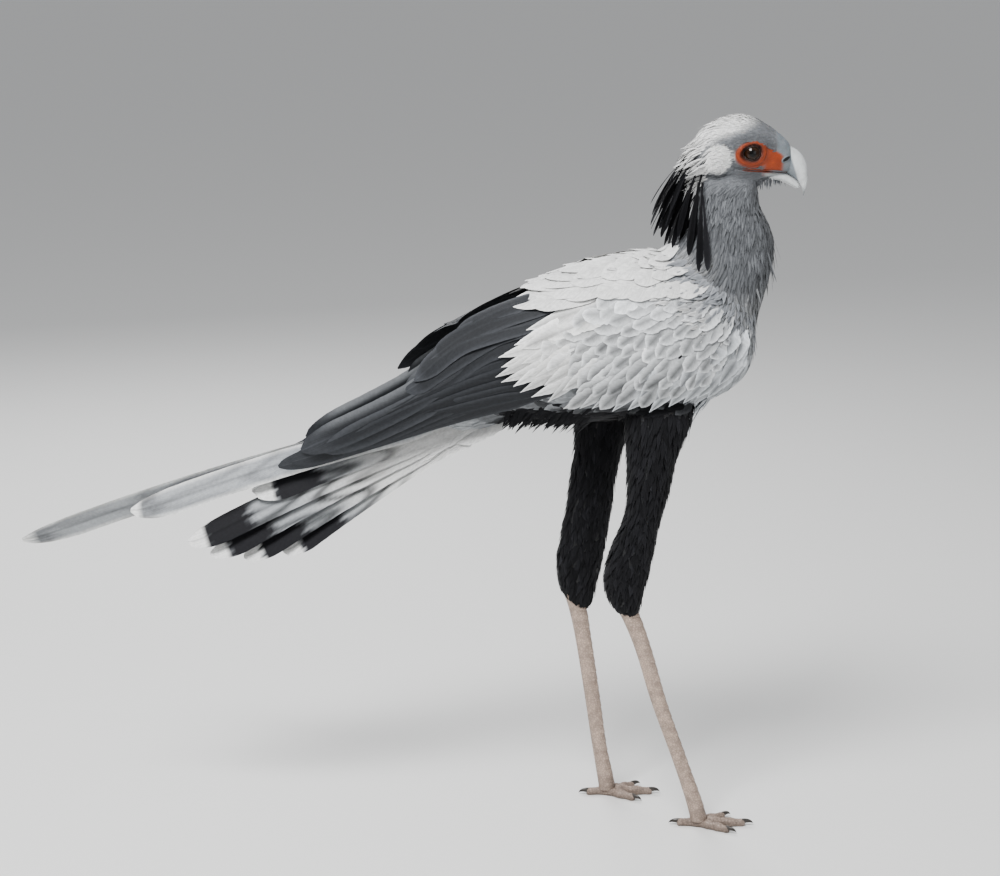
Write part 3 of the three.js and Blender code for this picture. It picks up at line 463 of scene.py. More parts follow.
def upright(rows, sides, steps, grow, low_round, high_round, side=0, power=2.1):
    section = Curve([row if len(row) > 4 else row + [0] for row in rows])
    low = min(row[0] for row in rows) - grow
    high = max(row[0] for row in rows) + grow
    t = np.linspace(0, 1, steps + 1)
    z = mix(low, high, mix(0.5 - 0.5 * np.cos(np.pi * t), t, 0.6))
    back, front, half, away = section(z).T
    shrink = np.minimum(round_end(z - low, low_round), round_end(high - z, high_round))[:, None]
    x, y = superellipse(((front - back) / 2 + grow)[:, None], (half + grow)[:, None], turns(sides), power)
    rings = np.stack(
        [((front + back) / 2)[:, None] + x * shrink, side * away[:, None] + y * shrink,
         np.broadcast_to(z[:, None], x.shape)], -1)
    return capped(rings)


def ball(centre, radii, pitch=0.0, sides=32, steps=20):
    lat = np.linspace(-np.pi / 2, np.pi / 2, steps + 1)
    lon = turns(sides)
    x = np.cos(lat)[:, None] * np.cos(lon)[None] * radii[0]
    y = np.cos(lat)[:, None] * np.sin(lon)[None] * radii[1]
    z = np.broadcast_to(np.sin(lat)[:, None] * radii[2], x.shape)
    cos, sin = math.cos(pitch), math.sin(pitch)
    return capped(np.stack([x * cos + z * sin, y, z * cos - x * sin], -1) + np.array(centre, float))


def arrays(mesh):
    points = np.empty(len(mesh.vertices) * 3, np.float32)
    mesh.vertices.foreach_get("co", points)
    mesh.calc_loop_triangles()
    triangles = np.empty(len(mesh.loop_triangles) * 3, np.int32)
    mesh.loop_triangles.foreach_get("vertices", triangles)
    return points.reshape(-1, 3) / MM, triangles.reshape(-1, 3)


# The surface that each folded wing lies on, told by x and the angle round it.
envelope = Curve(WING_ENVELOPE)


def wing_point(side, x, angle, lift):
    top, bottom, half = np.moveaxis(envelope(x), -1, 0)
    y, z = superellipse(half + lift, (top - bottom) / 2 + lift, angle, BODY_POWER)
    return np.stack([x, side * y, (top + bottom) / 2 + z], -1)


def wing_angle(x, z):
    top, bottom, _ = np.moveaxis(envelope(x), -1, 0)
    t = np.clip((z - (top + bottom) / 2) / ((top - bottom) / 2), -0.999, 0.999)
    return np.arcsin(np.sign(t) * np.abs(t) ** (BODY_POWER / 2))


# The height of the coverts' lower border, told by x.
under = Curve(COVERTS_LOW)


def folded_arm(side):
    """The flesh of the folded wing, from under the coverts' border to the shoulder."""
    rows, columns = 60, 40
    s, v = np.meshgrid(np.linspace(-1, 1, columns), np.linspace(0, 1, rows))
    x = mix(176, 468, v)
    low = wing_angle(x, under(x)[..., 0] + ARM_INSET)
    angle = np.where(s < 0, -low * s, 0.86 * np.pi / 2 * s)
    edge = np.minimum(1, 4 * (1 - np.abs(s)) + 0.02) * np.minimum(1, 10 * v * (1 - v) + 0.02)
    outer = wing_point(side, x, angle, mix(-8, -3, np.sqrt(edge)))
    inner = wing_point(side, x, angle, np.full_like(x, -24.0))
    faces = grid_faces(rows, columns)
    count, last = rows * columns, (rows - 1) * columns
    rim = np.concatenate([
        np.arange(columns), columns * np.arange(1, rows) + columns - 1,
        last + np.arange(columns - 2, -1, -1), columns * np.arange(rows - 2, 0, -1),
    ])
    walls = np.stack([rim, rim + count, np.roll(rim, -1) + count, np.roll(rim, -1)], -1)
    points = np.concatenate([outer.reshape(-1, 3), inner.reshape(-1, 3)])
    return points, np.vstack([faces, faces[:, ::-1] + count, walls])


def make_skin():
    """One closed skin over torso, rump, neck, head, folded wings and thighs."""
    parts = [
        lengthwise(TORSO, 64, 60, -COAT, 26, 16),
        upright(NECK, 56, 50, -COAT, 12, 12),
        lengthwise(HEAD, 64, 60, -HEAD_COAT, 14, 6, power=2.1),
        lengthwise(RUMP, 32, 24, 0, 12, 10),
    ]
    for side in (RIGHT, LEFT):
        brow = ball((EYE_X + 3, side * 24.0, EYE_Z + 13.5), BROW_RADII, pitch=0.24)
        cheek = ball((422, side * 20, 936), CHEEK_RADII)
        parts += [upright(THIGH[side], 40, 60, -COAT, 8, 14, side=side), brow, cheek, folded_arm(side)]
    rough = mesh_object("skin_rough", *gather(parts), BARE)
    remesh = rough.modifiers.new("remesh", "REMESH")
    remesh.mode, remesh.voxel_size = "VOXEL", SKIN_VOXEL * MM
    relax = rough.modifiers.new("relax", "SMOOTH")
    relax.factor, relax.iterations = 0.5, 10
    mesh = bpy.data.meshes.new_from_object(rough.evaluated_get(bpy.context.evaluated_depsgraph_get()))
    points, triangles = arrays(mesh)
    bpy.data.objects.remove(rough)
    bpy.data.meshes.remove(mesh)
    return points, triangles


skin_points, skin_triangles = make_skin()


def corner_normals(points, triangles):
    a, b, c = (points[triangles[:, k]] for k in range(3))
    face = np.cross(b - a, c - a)
    total = np.zeros_like(points)
    for k in range(3):
        np.add.at(total, triangles[:, k], face)
    return unit(total), np.linalg.norm(face, axis=1) / 2


def tree_of(points):
    return BVHTree.FromPolygons([tuple(p) for p in points], [tuple(t) for t in skin_triangles])


# The eye sockets and the line of the mouth are pressed into the skin.
mouth_line = Curve(MOUTH)
whole_skin = tree_of(skin_points)
for eye_side in (RIGHT, LEFT):
    x, z = skin_points[:, 0] - EYE_X, skin_points[:, 2] - EYE_Z
    opening = np.hypot(x / EYE_OPEN[0], z / EYE_OPEN[1])
    inward = np.where(skin_points[:, 1] * eye_side > 12, 5.5 * (1 - smooth(1.4, 1.85, opening)), 0)
    skin_points[:, 1] -= eye_side * inward
    away = skin_points - np.array([EYE_X, eye_side * EYE_Y, EYE_Z])
    skin_points[np.linalg.norm(away, axis=1) < EYE_R - 0.5, 1] = eye_side * (EYE_Y - 1.0)
skin_normals, skin_areas = corner_normals(skin_points, skin_triangles)
x, _, z = skin_points.T
on_mouth = (x > MOUTH_BACK) & (x < MOUTH_FRONT) & (z > 905) & (z < 935)
depth = np.exp(-((z - mouth_line(x)[:, 0]) / 1.7) ** 2) * on_mouth
skin_points = skin_points - skin_normals * (1.6 * depth)[:, None]
skin_tree = tree_of(skin_points)


# Regions of the coat, told apart by place.
def in_thigh(p, margin):
    found = np.zeros(len(p), bool)
    for side in (RIGHT, LEFT):
        back, front, half, away = Curve(THIGH[side])(p[:, 2]).T
        x = np.abs(p[:, 0] - (front + back) / 2) / ((front - back) / 2 + margin)
        y = np.abs(p[:, 1] - side * away) / (half + margin)
        found |= (x ** 2.1 + y ** 2.1 < 1) & (p[:, 2] < THIGH_HIGH)
    return found


def above_lores(x, z):
    """How far a place lies over the line from the brow to the nostril."""
    return z - 959 + 0.64 * (x - 482)


def bare_face(p):
    """How bare the head is there: 1 on the naked skin round the eye and before it."""
    x, z = p[:, 0], p[:, 2]
    round_eye = 1 - smooth(0.9, 1.06, np.hypot((x - 467) / 26, (z - 944.5) / 18.5))
    lores = smooth(478, 486, x) * (1 - smooth(-2, 2, above_lores(x, z)))
    cere = smooth(497, 502, x)
    bare = np.maximum(np.maximum(round_eye, lores), cere)
    return np.clip(bare * smooth(-9, -6, z - mouth_line(x)[:, 0]), 0, 1)


def under_wing(p):
    x, y, z = p.T
    inside = (x > 128) & (x < 447) & (np.abs(y) > 32)
    top = np.interp(x, [120, 200, 300, 400, 450], [700, 752, 775, 768, 740])
    return inside & (z > under(x)[:, 0] + ARM_INSET) & (z < top)


def lie(p, normal):
    """The way the coat lies at a point of the skin."""
    x, y, z = p.T
    thigh = in_thigh(p, 3)
    head = smooth(895, 915, z)
    nape = head * (1 - smooth(398, 430, x))
    rear_neck = (1 - smooth(395, 455, x)) * (1 - smooth(800, 850, z))
    body = mix(ALONG_BACK, DOWN_BREAST, smooth(395, 470, x)[:, None])
    neck = mix(DOWN_NECK, OFF_NECK, rear_neck[:, None])
    flow = mix(body, neck, smooth(735, 790, z)[:, None])
    flow = mix(flow, mix(OVER_CROWN, DOWN_NAPE, nape[:, None]), head[:, None])
    flow[thigh] = DOWN_THIGH
    flow[:, 1] += np.where(thigh, 0, 0.12 * np.sign(y) * (1 - head))
    return unit(flow - normal * (flow * normal).sum(1, keepdims=True))


def scatter(spacing, keep, most):
    """Roots spread over the skin, no two closer than the spacing where they stand."""
    pick = rng.choice(len(skin_triangles), most, p=skin_areas / skin_areas.sum())
    u, v = rng.random((2, most))
    flip = u + v > 1
    u[flip], v[flip] = 1 - u[flip], 1 - v[flip]
    shares = (1 - u - v)[:, None], u[:, None], v[:, None]
    place, normal = (
        sum(values[skin_triangles[pick, k]] * share for k, share in enumerate(shares))
        for values in (skin_points, skin_normals)
    )
    good = keep(place)
    place, normal = place[good], unit(normal[good])
    gaps = at(spacing, place)
    cell = float(gaps.max())
    boxes, chosen = {}, []

    def clear(x, y, z, home, gap):
        for step in product((-1, 0, 1), repeat=3):
            for other in boxes.get((home[0] + step[0], home[1] + step[1], home[2] + step[2]), ()):
                if (x - other[0]) ** 2 + (y - other[1]) ** 2 + (z - other[2]) ** 2 < gap * gap:
                    return False
        return True

    homes = map(tuple, (place // cell).astype(int).tolist())
    for i, (p, gap, home) in enumerate(zip(place.tolist(), gaps.tolist(), homes)):
        if clear(*p, home, gap):
            boxes.setdefault(home, []).append(p)
            chosen.append(i)
    return place[chosen], normal[chosen]


def drape(roots, normals, flow, lengths, lifts, rows):
    """Paths from the roots along the skin, rising from it towards their tips."""
    path = np.empty((len(roots), rows, 3))
    up = np.empty_like(path)
    place, direction, normal = roots.copy(), flow.copy(), normals.copy()
    path[:, 0], up[:, 0] = roots - normals * 0.4, normals
    step = (lengths / (rows - 1))[:, None]
    for r in range(1, rows):
        ahead = place + direction * step
        for i, spot in enumerate(ahead):
            place[i], normal[i] = skin_tree.find_nearest(Vector(spot))[:2]
        normal = unit(normal * 0.6 + up[:, r - 1] * 0.4)
        path[:, r] = place + normal * (lifts * (r / (rows - 1)) ** 0.8)[:, None]
        up[:, r] = normal
        direction = unit(direction - normal * (direction * normal).sum(1, keepdims=True))
    return path, up


def vane_faces(rows, ring):
    """Triangles of one closed vane whose rows hold this many points round: top, then bottom."""
    i, j = np.meshgrid(np.arange(rows - 1), np.arange(ring), indexing="ij")
    a, b = i * ring + j, i * ring + (j + 1) % ring
    walls = np.stack([a, a + ring, b + ring, a, b + ring, b], -1).reshape(-1, 3)
    cap = []
    for k in range((ring - 2) // 2):
        far = (ring - k) % ring
        cap += [[far, k, k + 1], [far, k + 1, ring - 1 - k]] if k else [[0, 1, ring - 1]]
    k = (ring - 2) // 2
    cap.append([ring - k, k, k + 1])
    cap = np.array(cap) % ring
    return np.vstack([walls, cap, cap[:, ::-1] + (rows - 1) * ring])


class Vanes:
    """Many closed thin vanes with the same number of points, kept as arrays [feather, row, point]."""

    def __init__(self, path, up, width, thick=0.35, camber=0.16, columns=3, ragged=0.0, quill=0.0):
        count, rows = path.shape[:2]
        tangent = unit(np.gradient(path, axis=1))
        across = unit(np.cross(up, tangent))
        normal = unit(np.cross(tangent, across))
        s = np.linspace(-1, 1, columns)
        rough = 1 + ragged * rng.uniform(-1, 1, (count, rows, 2))
        reach = np.where(s[None, None] < 0, rough[..., :1], rough[..., 1:]) * width[..., None]
        middle = path[:, :, None] + across[:, :, None] * (s * reach)[..., None]
        middle = middle - normal[:, :, None] * (camber * s ** 2 * reach)[..., None]
        body = (1 - s ** 2) ** 0.5 * thick / 2
        ridge = quill * np.exp(-(s / 0.09) ** 2)
        fade = np.linspace(1, 0.35, rows)[None, :, None, None]
        top = middle + normal[:, :, None] * ((body + ridge)[None, None, :, None] * fade)
        low = middle - normal[:, :, None] * ((body + 0.6 * ridge)[None, None, :, None] * fade)
        self.points = np.concatenate([top, low[:, :, -2:0:-1]], 2)
        self.across = np.concatenate([s, s[-2:0:-1]])
        self.along = np.linspace(0, 1, rows)
        self.count, self.rows, self.ring = count, rows, len(self.across)

    def grid(self):
        """(along, across) for every point of one vane, as [row, point] arrays."""
        return np.broadcast_arrays(self.along[:, None], self.across[None])

    def make(self, name, look, tint, slot, nodes=(), spots=None):
        """One object. tint is [feather, row, point, rgb]; spots are the vanes' places on the bake map."""
        per = self.rows * self.ring
        starts = np.arange(self.count)[:, None, None] * per
        faces = (vane_faces(self.rows, self.ring)[None] + starts).reshape(-1, 3)
        v, s = self.grid()
        vane = np.broadcast_to(np.stack([s * 0.5 + 0.5, v], -1)[None], (self.count, *v.shape, 2))
        if spots is None:
            columns = int(math.ceil(math.sqrt(self.count * 6)))
            rows = int(math.ceil(self.count / columns))
            k = np.arange(self.count)
            home = np.stack([(k % columns + 0.06) / columns, (k // columns + 0.04) / rows], -1)
            size = vec(0.88 / columns, 0.92 / rows)
        else:
            home, size = np.asarray(spots) * 0.99 + 0.003, vec(0.003, 0.003)
        bake = home[:, None, None] + vane * size
        tint = np.broadcast_to(tint, (self.count, self.rows, self.ring, 3)).reshape(-1, 3)
        obj = mesh_object(name, self.points.reshape(-1, 3), faces, look, tint,
                          {"OFBake": bake.reshape(-1, 2), "vane": vane.reshape(-1, 2)}, crease=60)
        return dress(obj, slot, *nodes)


def round_tip(v, start, reach):
    return np.sqrt(np.clip(1 - (np.clip(v - start, 0, 1) / reach) ** 2, 0.02, 1))


def shape_of(rows, kind):
    """Half width along a vane, from root to tip, as a share of the widest."""
    v = np.linspace(0, 1, rows)
    root, widening, tip = {
        "round": (0.45, (0, 0.45), round_tip(v, 0.62, 0.385)),
        "blunt": (0.5, (0, 0.4), np.clip(1 - np.clip((v - 0.6) / 0.41, 0, 1) ** 3.2, 0.06, 1)),
        "pointed": (0.4, (0, 0.35), np.clip(1 - v ** 2.6, 0.03, 1)),
        "long": (0.4, (0, 0.25), round_tip(v, 0.86, 0.141)),
        "spoon": (0.3, (0.3, 0.8), round_tip(v, 0.84, 0.161)),
    }[kind]
    return (root + (1 - root) * smooth(*widening, v)) * tip


def paint(vanes, base, edge=1.0, tip=1.0, core=1.0, shaft=1.0, vary=0.08, root=1.0):
    """base is one colour a feather; the rest are how much lighter or darker each part is."""
    v, s = (part[None] for part in vanes.grid())
    core, edge = np.reshape(core, (-1, 1, 1)), np.reshape(edge, (-1, 1, 1))
    rim = np.clip(smooth(0.62, 0.97, np.abs(s)) + smooth(0.86, 0.98, v), 0, 1)
    gain = 1 + (edge - 1) * rim
    gain = gain * (1 + (tip - 1) * smooth(0.55, 1, v)) * (1 + (root - 1) * (1 - smooth(0.1, 0.5, v)))
    gain = gain * (1 + (core - 1) * np.exp(-(s / 0.5) ** 2) * smooth(0.15, 0.5, v) * (1 - rim))
    gain = gain * (1 + (shaft - 1) * np.exp(-(s / 0.07) ** 2))
    own = np.exp(rng.normal(0, vary, (vanes.count, 1, 1)))
    return np.asarray(base, float).reshape(-1, 1, 1, 3) * (gain * own)[..., None]


# The coat of the body, neck, head and thighs. A spot is a root's place on an unwrap of the skin.
def long_spot(centre_z, start, length):
    """Along the body, and round it."""
    def spot(p):
        angle = np.arctan2(p[:, 1], p[:, 2] - centre_z) / (2 * np.pi) + 0.5
        return np.stack([(p[:, 0] - start) / length, angle], -1)
    return spot


def upright_spot(centre_x, centre_y, low, high):
    """Round the neck or a thigh, and up it."""
    def spot(p):
        angle = np.arctan2(p[:, 1] - centre_y, p[:, 0] - centre_x) / (2 * np.pi) + 0.5
        return np.stack([angle, (p[:, 2] - low) / (high - low)], -1)
    return spot


body_spot, head_spot = long_spot(690, 20, 500), long_spot(945, 375, 155)
neck_spot = upright_spot(440, 0, 730, 915)


def coat(name, slot, nodes, keep, spacing, length, half, lift, tint, spot, look=DOWN, kind="pointed", rows=6,
         most=60000, stray=0.2, ragged=0.08, columns=3, thick=0.3, camber=0.16, **shades):
    """Feathers rooted where keep allows. Their sizes and tint are values or functions of place."""
    place, normal = scatter(spacing, keep, most)
    flow = lie(place, normal)
    flow = unit(flow + np.cross(normal, flow) * rng.normal(0, stray, len(place))[:, None])
    lengths = at(length, place) * rng.uniform(0.82, 1.15, len(place))
    halves = at(half, place) * rng.uniform(0.85, 1.12, len(place))
    lifts = at(lift, place) * rng.uniform(0.7, 1.25, len(place))
    path, up = drape(place, normal, flow, lengths, lifts, rows)
    vanes = Vanes(path, up, halves[:, None] * shape_of(rows, kind)[None], thick=thick, camber=camber,
                  columns=columns, ragged=ragged)
    vanes.make(name, look, paint(vanes, at(tint, place), **shades), slot, nodes, spot(place) % 1.0)


def within(low, high):
    return lambda p: np.all((p > vec(*low)) & (p < vec(*high)), axis=1)


def of_side(keep, side):
    return lambda p: keep(p) & (p[:, 1] * side >= 0)


# Head feathers: small on the crown and cheek, longer and looser on the nape.
def head_keep(p):
    return (p[:, 2] > HEAD_LOW) & (bare_face(p) < 0.5) & (p[:, 0] < 524)


def nape_share(p):
    return (1 - smooth(392, 425, p[:, 0])) * smooth(900, 925, p[:, 2])


def head_tint(p):
    x, y, z = p.T
    round_ear = np.hypot((x - 422.5) / 20.5, (z - 940) / 21)
    ear = 1 - smooth(0.8, 1.05, round_ear)
    crown = smooth(968, 984, z + 0.35 * (450 - x)) * (1 - smooth(468, 492, x))
    shade = mix(GREY * 0.85, WHITE * 0.95, np.clip(ear + crown, 0, 1)[:, None])
    rim = np.exp(-((round_ear - 1.18) / 0.12) ** 2) * smooth(-6, 8, (430 - x) + (930 - z))
    shade = shade * (1 - 0.55 * rim * (1 - ear))[:, None]
    dark = (1 - smooth(1.0, 1.5, np.hypot((x - 468) / 29, (z - 946) / 20)))[:, None]
    return mix(shade, GREY * 0.55, 0.75 * dark * (1 - ear)[:, None])


for word, side in SIDES:
    coat("head_feathers_" + word, "head_skin", (), of_side(head_keep, side),
         spacing=lambda p: 1.8 + 1.6 * nape_share(p),
         length=lambda p: 7 + 18 * nape_share(p) + 4 * smooth(975, 992, p[:, 2]),
         half=lambda p: 1.35 + 1.2 * nape_share(p),
         lift=lambda p: 0.9 + 3.6 * nape_share(p) + 2.0 * smooth(980, 992, p[:, 2]),
         tint=head_tint, spot=head_spot, rows=5, most=220000, stray=0.18, ragged=0.15, thick=0.07,
         camber=0.06, edge=0.97, vary=0.08)


# Neck feathers: narrow and pointed, streaked grey.
def neck_zone(p):
    return (p[:, 2] > 742) & (p[:, 2] <= 905) & (p[:, 0] > 330)


def neck_tint(p):
    x, y, z = p.T
    lower = 1 - smooth(755, 800, z)
    side_light = smooth(0, 40, np.abs(y))
    shade = mix(GREY * 0.42, GREY * 0.62, (0.5 * side_light + 0.4 * smooth(850, 900, z))[:, None])
    back = (1 - smooth(385, 440, x)) * (1 - smooth(790, 840, z))
    return mix(shade, WHITE * 0.7, np.clip(0.8 * back + 0.22 * lower, 0, 1)[:, None])


def low_neck(p, high):
    return 1 - smooth(760, high, p[:, 2])


for word, side in SIDES:
    coat("neck_feathers_" + word, "neck_plumage", ("neck",) if side == RIGHT else (),
         of_side(neck_zone, side),
         spacing=lambda p: 3.2 + 1.4 * low_neck(p, 880), length=lambda p: 22 + 22 * low_neck(p, 885),
         half=lambda p: 2.5 + 1.3 * low_neck(p, 880),
         lift=lambda p: 2.0 + 2.0 * (1 - smooth(750, 850, p[:, 2])),
         tint=neck_tint, spot=neck_spot, most=90000, stray=0.14, ragged=0.2, columns=5, thick=0.12,
         camber=0.08, edge=0.92, shaft=1.35, vary=0.16)


# Body feathers: mantle, breast, flanks and belly.
def body_zone(p):
    return (p[:, 2] <= 748) | ((p[:, 0] <= 336) & (p[:, 2] < 880))


def body_tint(p):
    x, y, z = p.T
    belly = (1 - smooth(600, 628, z - 0.05 * (x - 300))) * (1 - smooth(395, 430, x)) * smooth(120, 165, x)
    top = smooth(725, 760, z)
    shade = mix(PALE * 0.85, WHITE * 0.95, top[:, None])
    return mix(shade, BLACK * 1.3, belly[:, None])


coat("body_feathers", "body_plumage", ("torso", "rump"),
     lambda p: body_zone(p) & ~under_wing(p) & ~in_thigh(p, 2) & (p[:, 0] > 52),
     spacing=6.4, length=lambda p: 38 + 8 * smooth(700, 760, p[:, 2]), half=5.8, lift=3.2, tint=body_tint,
     spot=body_spot, rows=7, most=40000, stray=0.15, kind="blunt", ragged=0.12, edge=1.1, core=0.8, vary=0.1)

for word, side in SIDES:
    coat("thigh_feathers_" + word, "thigh_black", ("thigh_" + word,),
         of_side(lambda p: in_thigh(p, 4) & (p[:, 2] < 602), side),
         spacing=4.6, length=lambda p: 24 + 6 * smooth(400, 560, p[:, 2]), half=3.6,
         lift=lambda p: 3.0 + 1.2 * smooth(400, 560, p[:, 2]), tint=BLACK,
         spot=upright_spot(320 if side == RIGHT else 262, side * 52, 290, 615), rows=5, most=30000,
         edge=1.25, core=0.9, vary=0.25)


# Soft grey feathers where the neck runs out over the shoulder and the front of the wing.
def before_shoulder(p):
    return 0.627 * (p[:, 0] - 344) + 0.78 * (p[:, 2] - 796)


def shoulder_zone(p):
    ahead = before_shoulder(p)
    on_shoulder = (np.abs(p[:, 1]) > 14) & (p[:, 2] > 668) & (p[:, 0] > 335)
    return (ahead > -20 + 12 * smooth(400, 450, p[:, 0])) & (ahead < 34) & on_shoulder


def shoulder_tint(p):
    ahead = smooth(-22, 16, before_shoulder(p) + rng.normal(0, 5, len(p)))
    return mix(WHITE * 0.85, GREY * 1.25, ahead[:, None])


def shoulder_front(p):
    return smooth(400, 460, p[:, 0])


coat("shoulder_feathers", "neck_plumage", (), shoulder_zone,
     spacing=4.6, length=lambda p: 30 - 8 * shoulder_front(p),
     half=lambda p: 4.4 - 0.8 * shoulder_front(p), lift=lambda p: 7.2 - 1.4 * shoulder_front(p),
     tint=shoulder_tint, spot=body_spot, most=50000, ragged=0.14, columns=5, thick=0.18, camber=0.1,
     edge=1.15, core=0.7, vary=0.12)


# White feathers of the back, over the meeting of the two wings.
coat("mantle_feathers", "body_plumage", (),
     within((196, -36, 760), (372, 36, 1000)),
     spacing=8.5, length=50, half=10.5, lift=9.5, tint=WHITE * 0.95, spot=body_spot, look=VANED,
     kind="blunt", rows=9, most=40000, stray=0.1, ragged=0.03, columns=7, thick=0.3, camber=0.12,
     edge=1.03, core=0.93, vary=0.04)


# Loose feathers that stand off the coat, each free from its root.
def tufts(name, slot, keep, tint, count, length, half, way, sag=0.16, rise=0.25, spot=body_spot):
    place, normal = scatter(2.4, keep, 90000)
    pick = rng.permutation(len(place))[:count]
    place, normal = place[pick], normal[pick]
    flow = vec(*way) + rng.normal(0, 0.14, place.shape)
    flow = unit(flow - (1 - rise) * normal * (flow * normal).sum(1, keepdims=True))
    v = np.linspace(0, 1, 8)[None, :, None]
    long = (length * rng.uniform(0.6, 1.2, len(place)))[:, None, None]
    path = place[:, None] + flow[:, None] * long * v + vec(0, 0, -sag) * long * v ** 2
    up = unit(np.broadcast_to(normal[:, None], path.shape))
    width = half * rng.uniform(0.7, 1.2, (len(place), 1)) * shape_of(8, "pointed")[None]
    vanes = Vanes(path, up, width, thick=0.16, camber=0.1, ragged=0.15)
    vanes.make(name, DOWN, paint(vanes, at(tint, place), edge=1.05, core=0.95, vary=0.15), slot,
               spots=spot(place) % 1.0)


def off_thigh(keep):
    return lambda p: keep(p) & ~in_thigh(p, 1)


tufts("flank_feathers", "body_plumage", off_thigh(within((146, -90, 560), (262, 90, 612))), BLACK * 1.2,
      count=260, length=30, half=3.2, way=(-0.7, 0, -1))
tufts("breast_tuft", "body_plumage", off_thigh(within((372, -80, 568), (446, 80, 616))), PALE,
      count=210, length=40, half=2.4, way=(-0.5, 0, -1), rise=0.4)
tufts("nape_tufts", "head_skin", within((380, -34, 905), (410, 34, 968)), WHITE * 0.8,
      count=190, length=27, half=1.7, way=(-1, 0, -0.3), rise=0.5, spot=head_spot)
tufts("crown_tufts", "head_skin", within((398, -30, 978), (462, 30, 1010)), WHITE * 0.85,
      count=130, length=15, half=1.3, way=(-1, 0, 0.05), rise=0.6, sag=0.3, spot=head_spot)
tufts("beard_feathers", "head_skin", within((470, -14, 893), (513, 14, 914)), GREY * 0.75,
      count=170, length=13, half=0.9, way=(0.1, 0, -1), rise=0.8, sag=0, spot=head_spot)
tufts("throat_plumes", "neck_plumage", within((470, -40, 770), (530, 40, 870)), lambda p: neck_tint(p) * 1.25,
      count=60, length=34, half=2.0, way=(0.12, 0, -1), rise=0.7, sag=0.1, spot=neck_spot)


# The skin under the coat, painted as the coat over it, and naked on the face.
def skin_tint(p):
    x, y, z = p.T
    shade = np.where((z > HEAD_LOW)[:, None], head_tint(p), neck_tint(p) * 0.8)
    shade = np.where(body_zone(p)[:, None], body_tint(p) * 0.85, shade)
    shade = np.where(in_thigh(p, 6)[:, None], BLACK, shade)
    # Round the eye the bare skin is painted darker: partly darker skin, partly painted shade in the socket
    # under the lashes.
    near = 1 - smooth(13, 24, np.hypot((x - 465) / 1.15, z - 946))
    flesh = mix(FACE, FACE_DARK_AND_SHADED, (0.85 * near)[:, None])
    over_mouth = z - mouth_line(x)[:, 0]
    flesh = mix(flesh, HORN * 0.6, (smooth(478, 486, x) * smooth(-0.5, -1.5, over_mouth))[:, None])
    front = np.maximum(smooth(504, 511, x), smooth(-1.5, 1.5, above_lores(x, z)) * smooth(494, 500, x))
    flesh = mix(flesh, CERE, front[:, None])
    # A near-black band along the mouth line: painted shade in the crease where the mouth is pressed in.
    crease_shade = np.exp(-(over_mouth / 1.5) ** 2) * (x > MOUTH_BACK) * (x < MOUTH_FRONT)
    flesh = mix(flesh, MOUTH_CREASE_SHADE, (0.9 * crease_shade)[:, None])
    return mix(shade, flesh, bare_face(p)[:, None])


dress(mesh_object("skin", skin_points, skin_triangles, BARE, skin_tint(skin_points)), "head_skin", "head")


def skin_side(x, z, side):
    """How far out the skin stands at a place seen from the side."""
    hit = whole_skin.ray_cast(Vector((x, side * 120, z)), Vector((0, -side, 0)))
    return abs(hit[0][1]) if hit[0] is not None else 20.0


# Eyes, lids and lashes.
def on_eye(x, z):
    """How far out the eyeball stands there."""
    return EYE_Y + math.sqrt(max(EYE_R ** 2 - (x - EYE_X) ** 2 - (z - EYE_Z) ** 2, 9.0))


def build_eye(side, word):
    sides, steps = 72, 60
    polar = np.linspace(0, np.pi, steps + 1)
    turn = turns(sides)
    bulge = 1 + 0.05 * np.exp(-(polar / 0.42) ** 2)
    out = (EYE_R * 0.985 * bulge * np.cos(polar))[:, None] * np.ones(sides)
    flat = (EYE_R * 0.985 * np.sin(polar))[:, None]
    rings = np.stack([EYE_X + flat * np.cos(turn), side * (EYE_Y + out), EYE_Z + flat * np.sin(turn)], -1)
    points, faces = capped(rings)
    reach = np.concatenate([np.repeat(EYE_R * np.sin(polar), sides), [0, 0]])
    angle = np.concatenate([np.tile(turn, steps + 1), [0, 0]])
    fibre = 0.5 + 0.5 * np.sin(angle * 37 + 3 * np.sin(angle * 5))
    iris = mix(IRIS_DEEP, IRIS_LIGHT, (fibre * smooth(3, 8, reach))[:, None])
    tint = mix(PUPIL, iris, smooth(4.3, 4.7, reach)[:, None])
    tint = mix(tint, EYE_RIM, smooth(10.3, 11.3, reach)[:, None])
    dress(mesh_object("eyeball_" + word, points, faces, EYE, tint), "eye_brown", "eye_" + word)


def build_lids(side, word):
    """Rings round the opening, from the eyeball out to the skin."""
    turn = turns(72)
    long, high = EYE_OPEN
    cos, sin = np.cos(turn), np.sin(turn)
    almond = np.stack([long * cos - 0.8 * np.cos(2 * turn), high * sin + 0.9 * cos], -1)
    rings, shades = [], []
    for share, height, way in LID_FOLDS:
        ring = []
        for across, angle in zip(almond, turn):
            x, z = vec(EYE_X, EYE_Z) + across * share
            lift = height * (1 + (0.25 * math.sin(9 * angle + 4 * share) if share > 1.3 else 0))
            ring.append((x, side * (mix(on_eye(x, z), skin_side(x, z, side), way) + lift), z))
        rings.append(ring)
        # Near the eye the lids take the darker face colour, partly darker skin and partly painted shade. The
        # tint is also multiplied by the fold's height, so folds that lie low are darker: painted shade in the
        # creases between them.
        flesh = mix(FACE_DARK_AND_SHADED, FACE, smooth(1.25, 1.8, share)) * (0.75 + 0.25 * height)
        shades.append(mix(flesh, LID_EDGE, 0.95 * (1 - smooth(1.04, 1.25, share))))
    faces = grid_faces(len(rings), len(turn), ring=True)
    tint = np.repeat(np.array(shades), len(turn), 0)
    dress(mesh_object("lids_" + word, np.array(rings).reshape(-1, 3), faces, BARE, tint), "head_skin")


